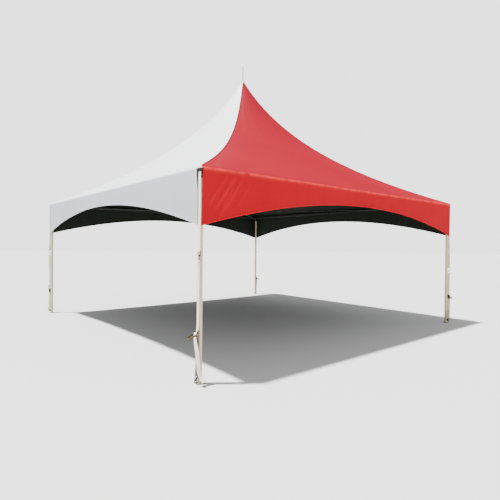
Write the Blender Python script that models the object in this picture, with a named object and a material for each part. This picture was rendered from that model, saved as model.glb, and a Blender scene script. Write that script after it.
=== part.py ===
# Marquee tent, six metres square, with a high peak held by a mast on two crossing cables.
# Metres, +Z up. The origin is on the ground under the peak. The front corner is at (-x, -y).

import math
from collections import namedtuple

import bmesh
import bpy
from mathutils import Matrix, Vector

# Canopy
canopy_side = 6.096
eave_height = 2.442
peak_height = 5.07
peak_sharpness = 0.208
fabric_thickness = 0.004
valance_corner_height = 1.77
valance_arch_rise = 0.41
valance_inset = 0.014
slit_top_width = 0.075
slit_low_width = 0.046
slit_taper_end = 2.11
crown_radius = 0.045

# Tubes
rail_radius = 0.0381
rail_wall = 0.003
leg_radius = 0.0254
leg_wall = 0.0032
mast_radius = 0.0254
mast_foot_height = 2.262
mast_top = 4.955
finial_radius = 0.008
finial_top = 5.36
tube_sides = 16

# Corner fittings, feet and cables
elbow_length = 0.09
spigot_length = 0.12
spigot_play = 0.0015
fitting_neck_drop = 0.105
strap_bar_drop = 0.040
neck_radius = 0.0305
lug_half_thickness = 0.005
lug_drops = (0.092, 0.045)
foot_side = 0.11
foot_thickness = 0.006
foot_spigot = 0.1
staple_half_width = 0.028
staple_height = 0.045
staple_bar = 0.009
staple_depth = 0.008
cable_radius = 0.004
cable_end_drop = 0.068
cable_end_reach = 0.075
sleeve_radius = 0.009
sleeve_length = 0.09
sleeve_taper = 0.006
mast_disc_radius = 0.055
mast_disc_thickness = 0.012
mast_spigot = 0.1
crown_seat_radius = 0.034
crown_cone_radius = 0.022
crown_cone_drop = 0.035

# Webbing and ratchets. The outs are distances from the leg's axis, the sides are along the face
webbing_width = 0.048
webbing_thickness = 0.003
strap_top_side = -0.022
upper_webbing_out = 0.0325
lower_webbing_out = 0.0375
ring_bar = 0.006
ring_half_width = 0.031
ring_height = 0.060
hook_width = 0.024
hook_plate = 0.005
hook_lip = 0.010
upper_hook_drop = 0.055
lower_hook_top = 0.12
lower_hook_tip = 0.052
hook_overlap = 0.025
ratchet_axis_out = 0.060
ratchet_half_height = 0.045
ratchet_plate = 0.003
ratchet_nose = 0.012
spool_radius = 0.015
axle_radius = 0.006
axle_overhang = 0.0095
bolt_radius = 0.004
handle_length = 0.105
handle_plate = 0.0025
handle_gap = 0.0015
handle_half_width = 0.012
handle_web_start = 0.066
grip_radius = 0.009
tail_width = 0.046
tail_thickness = 0.0025

gap = 0.0003

half_side = canopy_side / 2
wrap_inner = rail_radius + 0.0007
wrap_outer = wrap_inner + fabric_thickness
axis_offset = half_side - wrap_outer
rail_height = eave_height - 0.029
staple_out = lower_webbing_out + 0.0042
tail_out = ratchet_axis_out + spool_radius + gap + tail_thickness / 2
peak_factor = (peak_height - eave_height) / math.log((1 + peak_sharpness) / peak_sharpness)

# Each corner: quarter turns from the front, hand (-1 is the mirror image), height of its ring and
# place of the ring along the face, the same for its ratchet, place of the lower hook along the face,
# how far its strap's tail swings sideways, and the handle's angle from upright
Corner = namedtuple(
    "Corner", "name turns hand ring ring_side ratchet ratchet_side hook_side tail_swing handle_angle")
corners = [
    Corner("front", 0, 1, 1.435, -0.022, 0.565, -0.012, 0.012, 0.14, 110.0),
    Corner("right", 2, -1, 1.063, -0.034, 0.53, -0.028, -0.022, 0.03, 110.0),
    Corner("back", 2, 1, 1.30, -0.022, 0.50, -0.022, -0.010, 0.05, 110.0),
    Corner("left", 3, 1, 1.337, -0.034, 0.50, -0.022, -0.022, 0.04, 8.0),
]

# Each side: quarter turns from the front left, colour of its fabric, and whether its valance is
# slit at its first corner, where the strap shows
Side = namedtuple("Side", "name turns fabric slit")
sides = [
    Side("front_left", 0, "white_fabric", True),
    Side("front_right", 1, "red_fabric", False),
    Side("back_right", 2, "white_fabric", False),
    Side("back_left", 3, "red_fabric", False),
]

finishes = {
    "white_fabric": ((0.78, 0.78, 0.77), 0.55, 0.0),
    "red_fabric": ((0.56, 0.05, 0.055), 0.55, 0.0),
    "painted_steel": ((0.72, 0.70, 0.64), 0.40, 0.0),
    "zinc_steel": ((0.45, 0.44, 0.40), 0.35, 0.9),
    "webbing": ((0.85, 0.85, 0.83), 0.75, 0.0),
}


def clear_scene():
    for thing in list(bpy.data.objects):
        bpy.data.objects.remove(thing, do_unlink=True)


def finish(name):
    if name in bpy.data.materials:
        return bpy.data.materials[name]
    colour, roughness, metallic = finishes[name]
    material = bpy.data.materials.new(name)
    material.use_nodes = True
    shader = material.node_tree.nodes["Principled BSDF"]
    shader.inputs["Base Color"].default_value = (*colour, 1)
    shader.inputs["Roughness"].default_value = roughness
    shader.inputs["Metallic"].default_value = metallic
    return material


def new_object(name, mesh, material, parent=None, location=(0, 0, 0)):
    thing = bpy.data.objects.new(name, mesh)
    bpy.context.collection.objects.link(thing)
    mesh.materials.clear()
    mesh.materials.append(finish(material))
    thing.parent = parent
    thing.location = location
    return thing


def closed_mesh(build):
    """A mesh from a bmesh with its faces pointing out."""
    bmesh.ops.recalc_face_normals(build, faces=build.faces)
    mesh = bpy.data.meshes.new("shape")
    build.to_mesh(mesh)
    build.free()
    return mesh


def loft(rings):
    """A closed solid through rings of the same number of points, capped at both ends."""
    build = bmesh.new()
    rows = [[build.verts.new(point) for point in ring] for ring in rings]
    count = len(rows[0])
    for lower, upper in zip(rows, rows[1:]):
        for i in range(count):
            j = (i + 1) % count
            build.faces.new((lower[i], lower[j], upper[j], upper[i]))
    build.faces.new(rows[0])
    build.faces.new(rows[-1])
    return closed_mesh(build)


def closed_loft(rings):
    """A ring-shaped solid: the rings follow one another and the last meets the first."""
    build = bmesh.new()
    rows = [[build.verts.new(point) for point in ring] for ring in rings]
    count = len(rows[0])
    for lower, upper in zip(rows, rows[1:] + rows[:1]):
        for i in range(count):
            j = (i + 1) % count
            build.faces.new((lower[i], lower[j], upper[j], upper[i]))
    return closed_mesh(build)


def circle(start, end, radius, at, sides=tube_sides):
    """Points of a circle about the line from start to end, at the given end of it."""
    along = (Vector(end) - Vector(start)).normalized()
    side = along.orthogonal().normalized()
    up = along.cross(side)
    turns = [2 * math.pi * (i + 0.5) / sides for i in range(sides)]
    return [Vector(at) + radius * (side * math.cos(a) + up * math.sin(a)) for a in turns]


def rod(start, end, radius, sides=tube_sides):
    return loft([circle(start, end, radius, at, sides) for at in (start, end)])


def tube(start, end, radius, wall):
    ends = [(radius, start), (radius, end), (radius - wall, end), (radius - wall, start)]
    return closed_loft([circle(start, end, r, at) for r, at in ends])


def turned(profile, sides=tube_sides):
    """A solid turned about the Z axis from (radius, height) points that start and end on it."""
    build = bmesh.new()
    verts = [build.verts.new((r, 0, z)) for r, z in profile]
    edges = [build.edges.new(pair) for pair in zip(verts, verts[1:])]
    bmesh.ops.spin(build, geom=verts + edges, axis=(0, 0, 1), cent=(0, 0, 0),
                   angle=2 * math.pi, steps=sides, use_merge=True)
    bmesh.ops.remove_doubles(build, verts=build.verts, dist=0.00005)
    return closed_mesh(build)


def box(low, high):
    build = bmesh.new()
    size = Vector(high) - Vector(low)
    middle = (Vector(high) + Vector(low)) / 2
    bmesh.ops.create_cube(build, size=1, matrix=Matrix.Translation(middle) @ Matrix.Diagonal((*size, 1)))
    return closed_mesh(build)


def plate_xz(outline, y_low, y_high):
    return loft([[(x, y, z) for x, z in outline] for y in (y_low, y_high)])


def plate_yz(outline, x_low, x_high):
    return loft([[(x, y, z) for y, z in outline] for x in (x_low, x_high)])


def frame_yz(y_low, y_high, z_low, z_high, bar, x_low, x_high):
    """A rectangular ring of square bar, standing in the YZ plane."""
    def corner(inset, x):
        low_y, high_y = y_low + inset, y_high - inset
        low_z, high_z = z_low + inset, z_high - inset
        return [(x, low_y, low_z), (x, high_y, low_z), (x, high_y, high_z), (x, low_y, high_z)]
    return closed_loft([corner(0, x_low), corner(0, x_high), corner(bar, x_high), corner(bar, x_low)])


def combine(first, others, operation="UNION"):
    """One mesh from the first mesh and the others, with an exact Boolean."""
    base = bpy.data.objects.new("base", first)
    bpy.context.collection.objects.link(base)
    helpers = []
    for mesh in others:
        helper = bpy.data.objects.new("helper", mesh)
        bpy.context.collection.objects.link(helper)
        helpers.append(helper)
        modifier = base.modifiers.new("join", "BOOLEAN")
        modifier.operation = operation
        modifier.solver = "EXACT"
        modifier.object = helper
    graph = bpy.context.evaluated_depsgraph_get()
    graph.update()
    mesh = bpy.data.meshes.new_from_object(base.evaluated_get(graph))
    for thing in [base] + helpers:
        bpy.data.objects.remove(thing, do_unlink=True)
    mesh.materials.clear()
    return mesh


def turned_quarters(mesh, turns):
    copy = mesh.copy()
    copy.transform(Matrix.Rotation(math.radians(90 * turns), 4, "Z"))
    return copy


def handed(mesh, corner):
    """A copy of a corner's mesh, mirrored along the face where the corner is the mirror image."""
    copy = mesh.copy()
    if corner.hand < 0:
        copy.transform(Matrix.Diagonal((1, -1, 1, 1)))
        copy.flip_normals()
    return copy


def smooth(thing, degrees=35):
    thing.data.shade_smooth()
    thing.data.set_sharp_from_angle(angle=math.radians(degrees))


# Canopy


def roof_level(out, side_ratio):
    """How far down the roof a point is, 0 at the peak and 1 at the eave: circles at the peak
    that turn into squares at the eave. out is the distance from the middle along the panel."""
    u = out / half_side
    roundness = math.sqrt((1 + side_ratio ** 2) / 2)
    return u * (1 - (1 - roundness) * (1 - u))


def roof_height(out, side_ratio):
    level = roof_level(out, side_ratio)
    return eave_height + peak_factor * math.log((1 + peak_sharpness) / (level + peak_sharpness))


def roof_profile(side_ratio, rows, wrap_rows):
    """Outer and inner (out, height) points of a panel from the rail round to the crown."""
    step = 0.01
    drop = roof_height(half_side - step, side_ratio) - roof_height(half_side, side_ratio)
    slope = math.atan2(drop, step)
    outer, inner = [], []
    for i in range(wrap_rows + 1):
        angle = math.pi / 2 + (slope - math.pi / 2) * i / wrap_rows
        for points, radius in ((outer, wrap_outer), (inner, wrap_inner)):
            points.append((axis_offset + radius * math.sin(angle), rail_height + radius * math.cos(angle)))
    start = outer[-1][0]
    end = crown_radius / math.sqrt(1 + side_ratio ** 2)
    for i in range(1, rows + 1):
        out = start + (end - start) * (1 - (1 - i / rows) ** 1.5)
        rise = roof_height(out - 0.001, side_ratio) - roof_height(out + 0.001, side_ratio)
        slope = math.atan2(rise, 0.002)
        height = roof_height(out, side_ratio)
        outer.append((out, height))
        inner.append((out - fabric_thickness * math.sin(slope), height - fabric_thickness * math.cos(slope)))
    return outer, inner


def roof_panel(columns=12, rows=11, wrap_rows=4):
    """The panel on the -x side. Its two hips are cut on the diagonals."""
    build = bmesh.new()
    layers = []
    for j in range(columns + 1):
        ratio = 2 * j / columns - 1
        lines = roof_profile(abs(ratio), rows, wrap_rows)
        layers.append([[build.verts.new((-p, ratio * (p - gap), z)) for p, z in line] for line in lines])
    last = len(layers[0][0]) - 1
    for left, right in zip(layers, layers[1:]):
        for i in range(last):
            build.faces.new((left[0][i], right[0][i], right[0][i + 1], left[0][i + 1]))
            build.faces.new((left[1][i], left[1][i + 1], right[1][i + 1], right[1][i]))
        build.faces.new((left[0][0], left[1][0], right[1][0], right[0][0]))
        build.faces.new((left[0][last], right[0][last], right[1][last], left[1][last]))
    for column in (layers[0], layers[-1]):
        for i in range(last):
            build.faces.new((column[0][i], column[0][i + 1], column[1][i + 1], column[1][i]))
    return closed_mesh(build)


def valance(slit, segments=20):
    """The hanging border on the -x side, arched along its lower edge."""
    start = -half_side + (slit_low_width if slit else valance_inset)
    end = half_side - valance_inset
    top = rail_height - gap
    outline = [(end, top)]
    if slit:
        outline += [(-half_side + slit_top_width, top), (start, slit_taper_end)]
    else:
        outline += [(start, top)]
    for i in range(segments + 1):
        y = start + (end - start) * i / segments
        outline.append((y, valance_corner_height + valance_arch_rise * (1 - (y / half_side) ** 2)))
    return plate_yz(outline, -half_side, -half_side + fabric_thickness)


def make_canopy():
    panel = roof_panel()
    for side in sides:
        smooth(new_object("roof_panel_" + side.name, turned_quarters(panel, side.turns), side.fabric))
        new_object("valance_" + side.name, turned_quarters(valance(side.slit), side.turns), side.fabric)


# Frame


def eave_rail():
    reach = axis_offset - elbow_length - gap
    ends = [(-axis_offset, y, rail_height) for y in (-reach, reach)]
    return tube(*ends, rail_radius, rail_wall)


def corner_fitting():
    """A mitred elbow between two rails, with a neck down to the leg and a lug for the cable."""
    turns = [2 * math.pi * (i + 0.5) / tube_sides for i in range(tube_sides)]
    section = [(rail_radius * math.cos(a), rail_height + rail_radius * math.sin(a)) for a in turns]
    elbow = loft([
        [(a, elbow_length, z) for a, z in section],
        [(a, a, z) for a, z in section],
        [(elbow_length, a, z) for a, z in section],
    ])
    inside = rail_radius - rail_wall - spigot_play
    reach = elbow_length + spigot_length
    neck_end = rail_height - fitting_neck_drop
    lug_low, lug_high = (rail_height - drop for drop in lug_drops)
    lug = box((0.012, -lug_half_thickness, lug_low), (cable_end_reach, lug_half_thickness, lug_high))
    lug.transform(Matrix.Rotation(math.radians(45), 4, "Z"))
    parts = [
        rod((0.05, 0, rail_height), (reach, 0, rail_height), inside),
        rod((0, 0.05, rail_height), (0, reach, rail_height), inside),
        rod((0, 0, rail_height - 0.015), (0, 0, neck_end), neck_radius),
        rod((0, 0, neck_end + 0.02), (0, 0, neck_end - spigot_length), leg_radius - leg_wall - spigot_play),
        lug,
        box((-0.0365, -0.0365, rail_height - strap_bar_drop), (-0.020, 0.004, rail_height - 0.012)),
    ]
    return combine(elbow, parts)


def leg():
    top = rail_height - fitting_neck_drop - gap
    return tube((0, 0, foot_thickness + gap), (0, 0, top), leg_radius, leg_wall)


def base_plate(side):
    """A square foot with a spigot in the leg and a staple for the strap's hook."""
    half = foot_side / 2
    root = foot_thickness / 2
    plate = box((-half, -half, 0), (half, half, foot_thickness))
    spigot = rod((0, 0, root), (0, 0, foot_thickness + foot_spigot), leg_radius - leg_wall - spigot_play)
    outer, inner = staple_half_width, staple_half_width - staple_bar
    under = staple_height - staple_bar
    outline = [(-outer, root), (-outer, staple_height), (outer, staple_height), (outer, root),
               (inner, root), (inner, under), (-inner, under), (-inner, root)]
    staple = plate_yz([(side + y, z) for y, z in outline], -staple_out - staple_depth, -staple_out)
    return combine(plate, [spigot, staple])


def make_frame():
    rail = eave_rail()
    for side in sides:
        smooth(new_object("eave_rail_" + side.name, turned_quarters(rail, side.turns), "painted_steel"))
    fitting, post = corner_fitting(), leg()
    for corner in corners:
        place = bpy.data.objects["corner_" + corner.name]
        smooth(new_object("corner_fitting_" + corner.name, handed(fitting, corner), "zinc_steel", place))
        smooth(new_object("leg_" + corner.name, handed(post, corner), "painted_steel", place))
        foot = handed(base_plate(corner.hook_side), corner)
        smooth(new_object("base_plate_" + corner.name, foot, "zinc_steel", place))


# Mast and cables


def cross_cable(height_at_mast):
    """A cable from one corner lug under the mast to the opposite one, along the x axis."""
    reach = axis_offset * math.sqrt(2) - cable_end_reach - gap
    end_height = rail_height - cable_end_drop
    flat = mast_disc_radius - 0.005
    slope = (end_height - height_at_mast) / (reach - flat)
    sleeve_end = reach - sleeve_length
    turns = [2 * math.pi * (i + 0.5) / 8 for i in range(8)]

    def ring(x, radius):
        z = height_at_mast + slope * max(abs(x) - flat, 0)
        return [(x, radius * math.cos(a), z + radius * math.sin(a)) for a in turns]
    half = [(flat, cable_radius), (sleeve_end - sleeve_taper, cable_radius), (sleeve_end, sleeve_radius),
            (reach, sleeve_radius)]
    return loft([ring(-x, radius) for x, radius in reversed(half)] + [ring(x, radius) for x, radius in half])


def make_mast():
    upper = mast_foot_height - gap - cable_radius
    lower = upper - 2 * cable_radius - gap
    cables = [("cross_cable_front_back", upper, 45), ("cross_cable_left_right", lower, -45)]
    for name, height, degrees in cables:
        mesh = cross_cable(height)
        mesh.transform(Matrix.Rotation(math.radians(degrees), 4, "Z"))
        smooth(new_object(name, mesh, "zinc_steel"))
    floor = mast_foot_height + mast_disc_thickness
    inside = mast_radius - leg_wall - spigot_play
    foot = turned([(0, mast_foot_height), (mast_disc_radius, mast_foot_height), (mast_disc_radius, floor),
                   (inside, floor), (inside, floor + mast_spigot), (0, floor + mast_spigot)])
    smooth(new_object("mast_foot", foot, "zinc_steel"))
    mast = tube((0, 0, floor + gap), (0, 0, mast_top), mast_radius, leg_wall)
    smooth(new_object("mast", mast, "painted_steel"))
    rim = roof_height(crown_radius / math.sqrt(2), 1) + gap
    seat = mast_top + gap
    spigot_end = mast_top - mast_spigot
    crown = turned([(0, spigot_end), (inside, spigot_end), (inside, seat), (crown_seat_radius, seat),
                    (crown_seat_radius, rim), (crown_radius, rim), (crown_radius, rim + fabric_thickness),
                    (crown_cone_radius, peak_height - crown_cone_drop), (finial_radius, peak_height),
                    (finial_radius, finial_top - 0.006), (0.003, finial_top), (0, finial_top)])
    smooth(new_object("crown_and_finial", crown, "zinc_steel"))


# Webbing and ratchets


def band(out, line):
    """Webbing in one upright plane, through (side, height) points from the lowest up."""
    x_low, x_high = -out - webbing_thickness / 2, -out + webbing_thickness / 2
    half = webbing_width / 2
    return loft([[(x_low, y - half, z), (x_high, y - half, z), (x_high, y + half, z), (x_low, y + half, z)]
                 for y, z in line])


def corner_strap(corner):
    """Webbing sewn to the canopy's corner, with a steel ring at its lower end."""
    top = rail_height - strap_bar_drop - gap
    ring_top = corner.ring + ring_height
    half = ring_bar / 2
    side = corner.ring_side
    ring = frame_yz(side - ring_half_width, side + ring_half_width, corner.ring, ring_top,
                    ring_bar, -upper_webbing_out - half, -upper_webbing_out + half)
    line = [(side, ring_top - 0.002), (side, ring_top + 0.05), (strap_top_side, top)]
    return combine(band(upper_webbing_out, line), [ring])


def ratchet_strap(corner):
    """Webbing from a hook in the upper ring, behind the ratchet, to a hook in the staple of the foot."""
    far = -upper_webbing_out - ring_bar / 2 - gap - hook_plate
    near = far + hook_plate
    inner = -upper_webbing_out + ring_bar / 2 + gap
    saddle = corner.ring + ring_bar + gap
    end = corner.ring - upper_hook_drop
    lip = inner + hook_plate / 2
    upper_hook = plate_xz([
        (far, end), (near, end), (near, saddle), (inner, saddle), (inner, saddle - hook_lip),
        (lip, saddle - hook_lip), (lip, saddle + hook_plate), (far, saddle + hook_plate),
    ], corner.ring_side - hook_width / 2, corner.ring_side + hook_width / 2)
    staple_in = -staple_out + gap
    staple_far = -staple_out - staple_depth - gap
    under = staple_height - staple_bar - gap
    lower_hook = plate_xz([
        (staple_in, lower_hook_top), (staple_in, under), (staple_far, under), (staple_far, lower_hook_tip),
        (staple_far - hook_plate, lower_hook_tip), (staple_far - hook_plate, under - hook_plate),
        (staple_in + hook_plate, under - hook_plate), (staple_in + hook_plate, lower_hook_top),
    ], corner.hook_side - hook_width / 2, corner.hook_side + hook_width / 2)
    webbing = band(lower_webbing_out, [
        (corner.hook_side, lower_hook_top - hook_overlap),
        (corner.ratchet_side, corner.ratchet - ratchet_half_height),
        (corner.ratchet_side, corner.ratchet + ratchet_half_height),
        (corner.ring_side, corner.ring - hook_overlap),
    ])
    return combine(webbing, [upper_hook, lower_hook])


def ratchet(height, side):
    """The ratchet: a back plate, two cheeks, the bolt for the lower webbing and the wound spool."""
    back = -lower_webbing_out - webbing_thickness / 2 - gap
    low, high = height - ratchet_half_height, height + ratchet_half_height
    inner = webbing_width / 2
    outer = inner + ratchet_plate
    plate = box((back - ratchet_plate, side - outer, low), (back, side + outer, high))
    root, nose, flat = back - 0.001, -ratchet_axis_out - ratchet_nose, 0.014
    shoulder = -ratchet_axis_out + ratchet_nose / 2
    outline = [(root, low), (root, high), (shoulder, high), (nose, height + flat), (nose, height - flat),
               (shoulder, low)]
    cheeks = [plate_xz(outline, side - outer, side - inner), plate_xz(outline, side + inner, side + outer)]
    reach = inner + 0.001
    axle_half = inner + axle_overhang
    bolt_x, bolt_z = back - ratchet_plate - 2 * bolt_radius, low + 3 * bolt_radius
    bars = [
        (-ratchet_axis_out, height, reach, spool_radius, 16),
        (-ratchet_axis_out, height, axle_half, axle_radius, 12),
        (bolt_x, bolt_z, reach, bolt_radius, 8),
    ]
    rods = [rod((x, side - half, z), (x, side + half, z), radius, count)
            for x, z, half, radius, count in bars]
    return combine(plate, cheeks + rods)


def ratchet_handle():
    """Two arms on the ratchet's axle with a grip between their ends, pointing up from the axle."""
    inner = webbing_width / 2 + ratchet_plate + handle_gap
    outer = inner + handle_plate
    end = handle_length + axle_radius
    outline = [(-handle_half_width, -handle_half_width), (handle_half_width, -handle_half_width),
               (handle_half_width - 0.002, end), (0.002 - handle_half_width, end)]
    arms = [plate_xz(outline, inner, outer), plate_xz(outline, -outer, -inner)]
    reach = outer + 0.001
    web = box((-0.0105, -inner - 0.001, handle_web_start), (-0.008, inner + 0.001, handle_length))
    grip = rod((0, -reach, handle_length), (0, reach, handle_length), grip_radius, 12)
    body = combine(arms[0], [arms[1], web, grip])
    hole = rod((0, -reach, 0), (0, reach, 0), axle_radius + 0.0007, 12)
    return combine(body, [hole], "DIFFERENCE")


def strap_tail(corner):
    """The loose end of the strap, hanging from the outer side of the spool to just above the ground."""
    start = corner.ratchet + 0.004
    # Distance out, share of the swing, share of the height, and turn of the strap in degrees
    route = [
        (tail_out, 0.00, 1.00, 0),
        (tail_out, 0.03, 0.93, 3),
        (0.0740, 0.12, 0.80, 18),
        (0.0690, 0.29, 0.62, 30),
        (0.0620, 0.46, 0.31, 38),
        (0.0550, 0.71, 0.20, 40),
        (0.0450, 1.00, 0.10, 42),
    ]
    line = [(-out, corner.ratchet_side - swing * corner.tail_swing, high * start, turn)
            for out, swing, high, turn in route]
    return flat_strip(line, tail_width, tail_thickness, 4)


def through(values, i, t):
    """A smooth value between two listed ones, by a Catmull-Rom curve."""
    a, b, c, d = (values[min(max(k, 0), len(values) - 1)] for k in (i - 1, i, i + 1, i + 2))
    return b + 0.5 * t * (c - a + t * (2 * a - 5 * b + 4 * c - d + t * (3 * (b - c) + d - a)))


def flat_strip(line, width, thickness, steps):
    """A flat strip along (x, y, z, turn) points. The turn swings its width from y towards -x."""
    columns = list(zip(*line))
    places = [(i, k / steps) for i in range(len(line) - 1) for k in range(steps)] + [(len(line) - 2, 1.0)]
    points = [[through(column, i, t) for column in columns] for i, t in places]
    rings = []
    for k, (x, y, z, turn) in enumerate(points):
        before, after = points[max(k - 1, 0)], points[min(k + 1, len(points) - 1)]
        along = Vector((after[0] - before[0], after[1] - before[1], after[2] - before[2])).normalized()
        angle = math.radians(turn)
        wide = Vector((-math.sin(angle), math.cos(angle), 0))
        wide = (wide - wide.dot(along) * along).normalized() * width / 2
        thick = along.cross(wide).normalized() * thickness / 2
        middle = Vector((x, y, z))
        edges = [(1, 1), (-1, 1), (-1, -1), (1, -1)]
        rings.append([middle + a * wide + b * thick for a, b in edges])
    return loft(rings)


def make_straps():
    handle = ratchet_handle()
    for corner in corners:
        place = bpy.data.objects["corner_" + corner.name]
        new_object("corner_strap_" + corner.name, handed(corner_strap(corner), corner), "webbing", place)
        new_object("ratchet_strap_" + corner.name, handed(ratchet_strap(corner), corner), "webbing", place)
        body = handed(ratchet(corner.ratchet, corner.ratchet_side), corner)
        smooth(new_object("ratchet_" + corner.name, body, "zinc_steel", place))
        pivot = (-ratchet_axis_out, corner.hand * corner.ratchet_side, corner.ratchet)
        arm = new_object("ratchet_handle_" + corner.name, handle.copy(), "zinc_steel", place, pivot)
        arm.rotation_euler = (0, -math.radians(corner.handle_angle), 0)
        smooth(arm)
        new_object("strap_tail_" + corner.name, handed(strap_tail(corner), corner), "webbing", place)


def make_corner_empties():
    """One empty on each leg's axis, turned so that the strap is on its -x side."""
    for corner in corners:
        empty = bpy.data.objects.new("corner_" + corner.name, None)
        bpy.context.collection.objects.link(empty)
        turn = Matrix.Rotation(math.radians(90 * corner.turns), 4, "Z")
        empty.matrix_world = turn @ Matrix.Translation((-axis_offset, -corner.hand * axis_offset, 0))


clear_scene()
make_corner_empties()
make_canopy()
make_frame()
make_mast()
make_straps()
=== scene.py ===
import itertools
import math

import bpy
from mathutils import Matrix, Vector, noise


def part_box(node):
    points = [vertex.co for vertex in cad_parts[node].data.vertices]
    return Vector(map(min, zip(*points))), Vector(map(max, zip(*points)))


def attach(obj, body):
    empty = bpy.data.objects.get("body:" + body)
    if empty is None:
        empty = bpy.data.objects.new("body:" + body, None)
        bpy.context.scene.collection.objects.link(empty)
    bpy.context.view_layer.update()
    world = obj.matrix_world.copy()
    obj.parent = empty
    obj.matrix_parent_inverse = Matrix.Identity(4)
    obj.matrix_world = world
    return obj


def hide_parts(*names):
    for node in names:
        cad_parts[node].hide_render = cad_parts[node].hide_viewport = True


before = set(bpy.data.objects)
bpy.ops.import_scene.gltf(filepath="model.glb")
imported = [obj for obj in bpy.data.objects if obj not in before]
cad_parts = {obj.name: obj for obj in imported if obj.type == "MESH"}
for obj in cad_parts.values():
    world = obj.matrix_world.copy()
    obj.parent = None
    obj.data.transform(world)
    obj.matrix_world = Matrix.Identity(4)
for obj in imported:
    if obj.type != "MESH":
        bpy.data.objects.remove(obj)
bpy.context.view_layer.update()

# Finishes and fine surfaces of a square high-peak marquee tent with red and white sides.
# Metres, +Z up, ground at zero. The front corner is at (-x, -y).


# Node helpers


class Wire:
    # An output of a material's node. Arithmetic on it adds Math nodes.

    def __init__(self, finish, socket):
        self.finish = finish
        self.socket = socket

    def calc(self, operation, *values):
        return self.finish.add("ShaderNodeMath", {"operation": operation}, dict(enumerate(values)))

    def __add__(self, other):
        return self.calc("ADD", self, other)

    __radd__ = __add__

    def __sub__(self, other):
        return self.calc("SUBTRACT", self, other)

    def __rsub__(self, other):
        return self.calc("SUBTRACT", other, self)

    def __mul__(self, other):
        return self.calc("MULTIPLY", self, other)

    __rmul__ = __mul__

    def __truediv__(self, other):
        return self.calc("DIVIDE", self, other)

    def sine(self):
        return self.calc("SINE", self)

    def absolute(self):
        return self.calc("ABSOLUTE", self)

    def ramp(self, low, high):
        # 0 at low, 1 at high, smooth between them
        values = {"Value": self, "From Min": low, "From Max": high}
        return self.finish.add("ShaderNodeMapRange", {"interpolation_type": "SMOOTHSTEP"}, values)


class Finish:
    # One material. add() makes a node, and shade() sets or links the shader's sockets.

    def __init__(self, name):
        self.material = bpy.data.materials.new(name)
        self.material.use_nodes = True
        self.tree = self.material.node_tree
        self.shader = self.tree.nodes["Principled BSDF"]

    def put(self, socket, value):
        if isinstance(value, Wire):
            self.tree.links.new(value.socket, socket)
        else:
            socket.default_value = value

    def add(self, kind, settings, values, output=0):
        node = self.tree.nodes.new(kind)
        for name, value in settings.items():
            setattr(node, name, value)
        for name, value in values.items():
            self.put(node.inputs[name], value)
        return Wire(self, node.outputs[output])

    def shade(self, **values):
        for name, value in values.items():
            self.put(self.shader.inputs[name.replace("_", " ")], value)
        return self.material

    def place(self):
        return self.add("ShaderNodeTexCoord", {}, {}, "Object")

    def uv(self):
        return self.add("ShaderNodeUVMap", {"uv_map": "cloth"}, {})

    def parts(self, vector):
        node = self.add("ShaderNodeSeparateXYZ", {}, {"Vector": vector})
        return [Wire(self, output) for output in node.socket.node.outputs]

    def scaled(self, vector, scale):
        return self.add("ShaderNodeMapping", {}, {"Vector": vector, "Scale": scale})

    def cloud(self, vector, scale, detail=3.0, roughness=0.5):
        values = {"Vector": vector, "Scale": scale, "Detail": detail, "Roughness": roughness}
        return self.add("ShaderNodeTexNoise", {}, values, "Fac")

    def cells(self, vector, scale):
        return self.add("ShaderNodeTexVoronoi", {}, {"Vector": vector, "Scale": scale}, "Color")

    def attribute(self, name):
        return self.add("ShaderNodeAttribute", {"attribute_name": name}, {}, "Fac")

    def blend(self, mask, first, second):
        # Each colour is a wire, or three values from 0 to 255 as in a picture
        first, second = (linear(*c) if isinstance(c, tuple) else c for c in (first, second))
        return self.add("ShaderNodeMix", {"data_type": "RGBA"}, {0: mask, 6: first, 7: second}, 2)

    def bump(self, height):
        return self.add("ShaderNodeBump", {}, {"Height": height, "Distance": 1.0, "Strength": 1.0},
                        "Normal")


def linear(*values):
    def curve(share):
        return share / 12.92 if share <= 0.04045 else ((share + 0.055) / 1.055) ** 2.4
    return tuple(curve(value / 255) for value in values) + (1.0,)


# Finishes


def coatedCloth(name, look):
    # Coated canopy cloth: a fine plain weave under a smooth coat, soft stains, a painted highlight on
    # its folds and wrinkle crests, and rows of stitches
    finish = Finish(name)
    place, uv = finish.place(), finish.uv()
    across, down, _ = finish.parts(uv)
    mottle = finish.cloud(place, look["mottleScale"], 4.0, 0.6)
    streaks = finish.cloud(finish.scaled(uv, (9.0, 0.7, 1.0)), 1.0, 4.0, 0.55).ramp(0.48, 0.8)
    grime = finish.attribute("grime") * finish.cloud(place, 3.5, 5.0, 0.65).ramp(0.3, 0.75)
    # Painted highlight: the cloth is lighter where the fold value is high, on the eave's fold and the
    # wrinkle crests
    fold = finish.attribute("fold") * finish.cloud(place, 7.0, 3.0).ramp(0.1, 0.6)
    colour = finish.blend(mottle.ramp(0.3, 0.75), look["colour"], look["mottled"])
    colour = finish.blend(streaks * look["streaks"], colour, look["stainAndShade"])
    colour = finish.blend(grime * look["grime"], colour, look["stainAndShade"])
    colour = finish.blend(fold * look["foldSheen"], colour, look["wearAndSheen"])
    turns = 2 * math.pi / look["threadPitch"]
    height = (across * turns).sine() * (down * turns).sine() * look["weaveDepth"] + mottle * 0.0006
    if look["stitchRows"]:
        dashes = (across * (math.pi / look["stitchLength"])).sine().absolute().ramp(0.25, 0.5)
        for row in look["stitchRows"]:
            line = 1 - (down - row).absolute().ramp(0.0006, 0.0014)
            colour = finish.blend(line * dashes * 0.8, colour, look["thread"])
            height = height + line * dashes * 0.0004 - line * 0.0003
    roughness = look["roughness"] + mottle * 0.1 - fold * 0.08
    return finish.shade(Base_Color=colour, Roughness=roughness, Normal=finish.bump(height),
                        Specular_IOR_Level=look["specular"])


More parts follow.
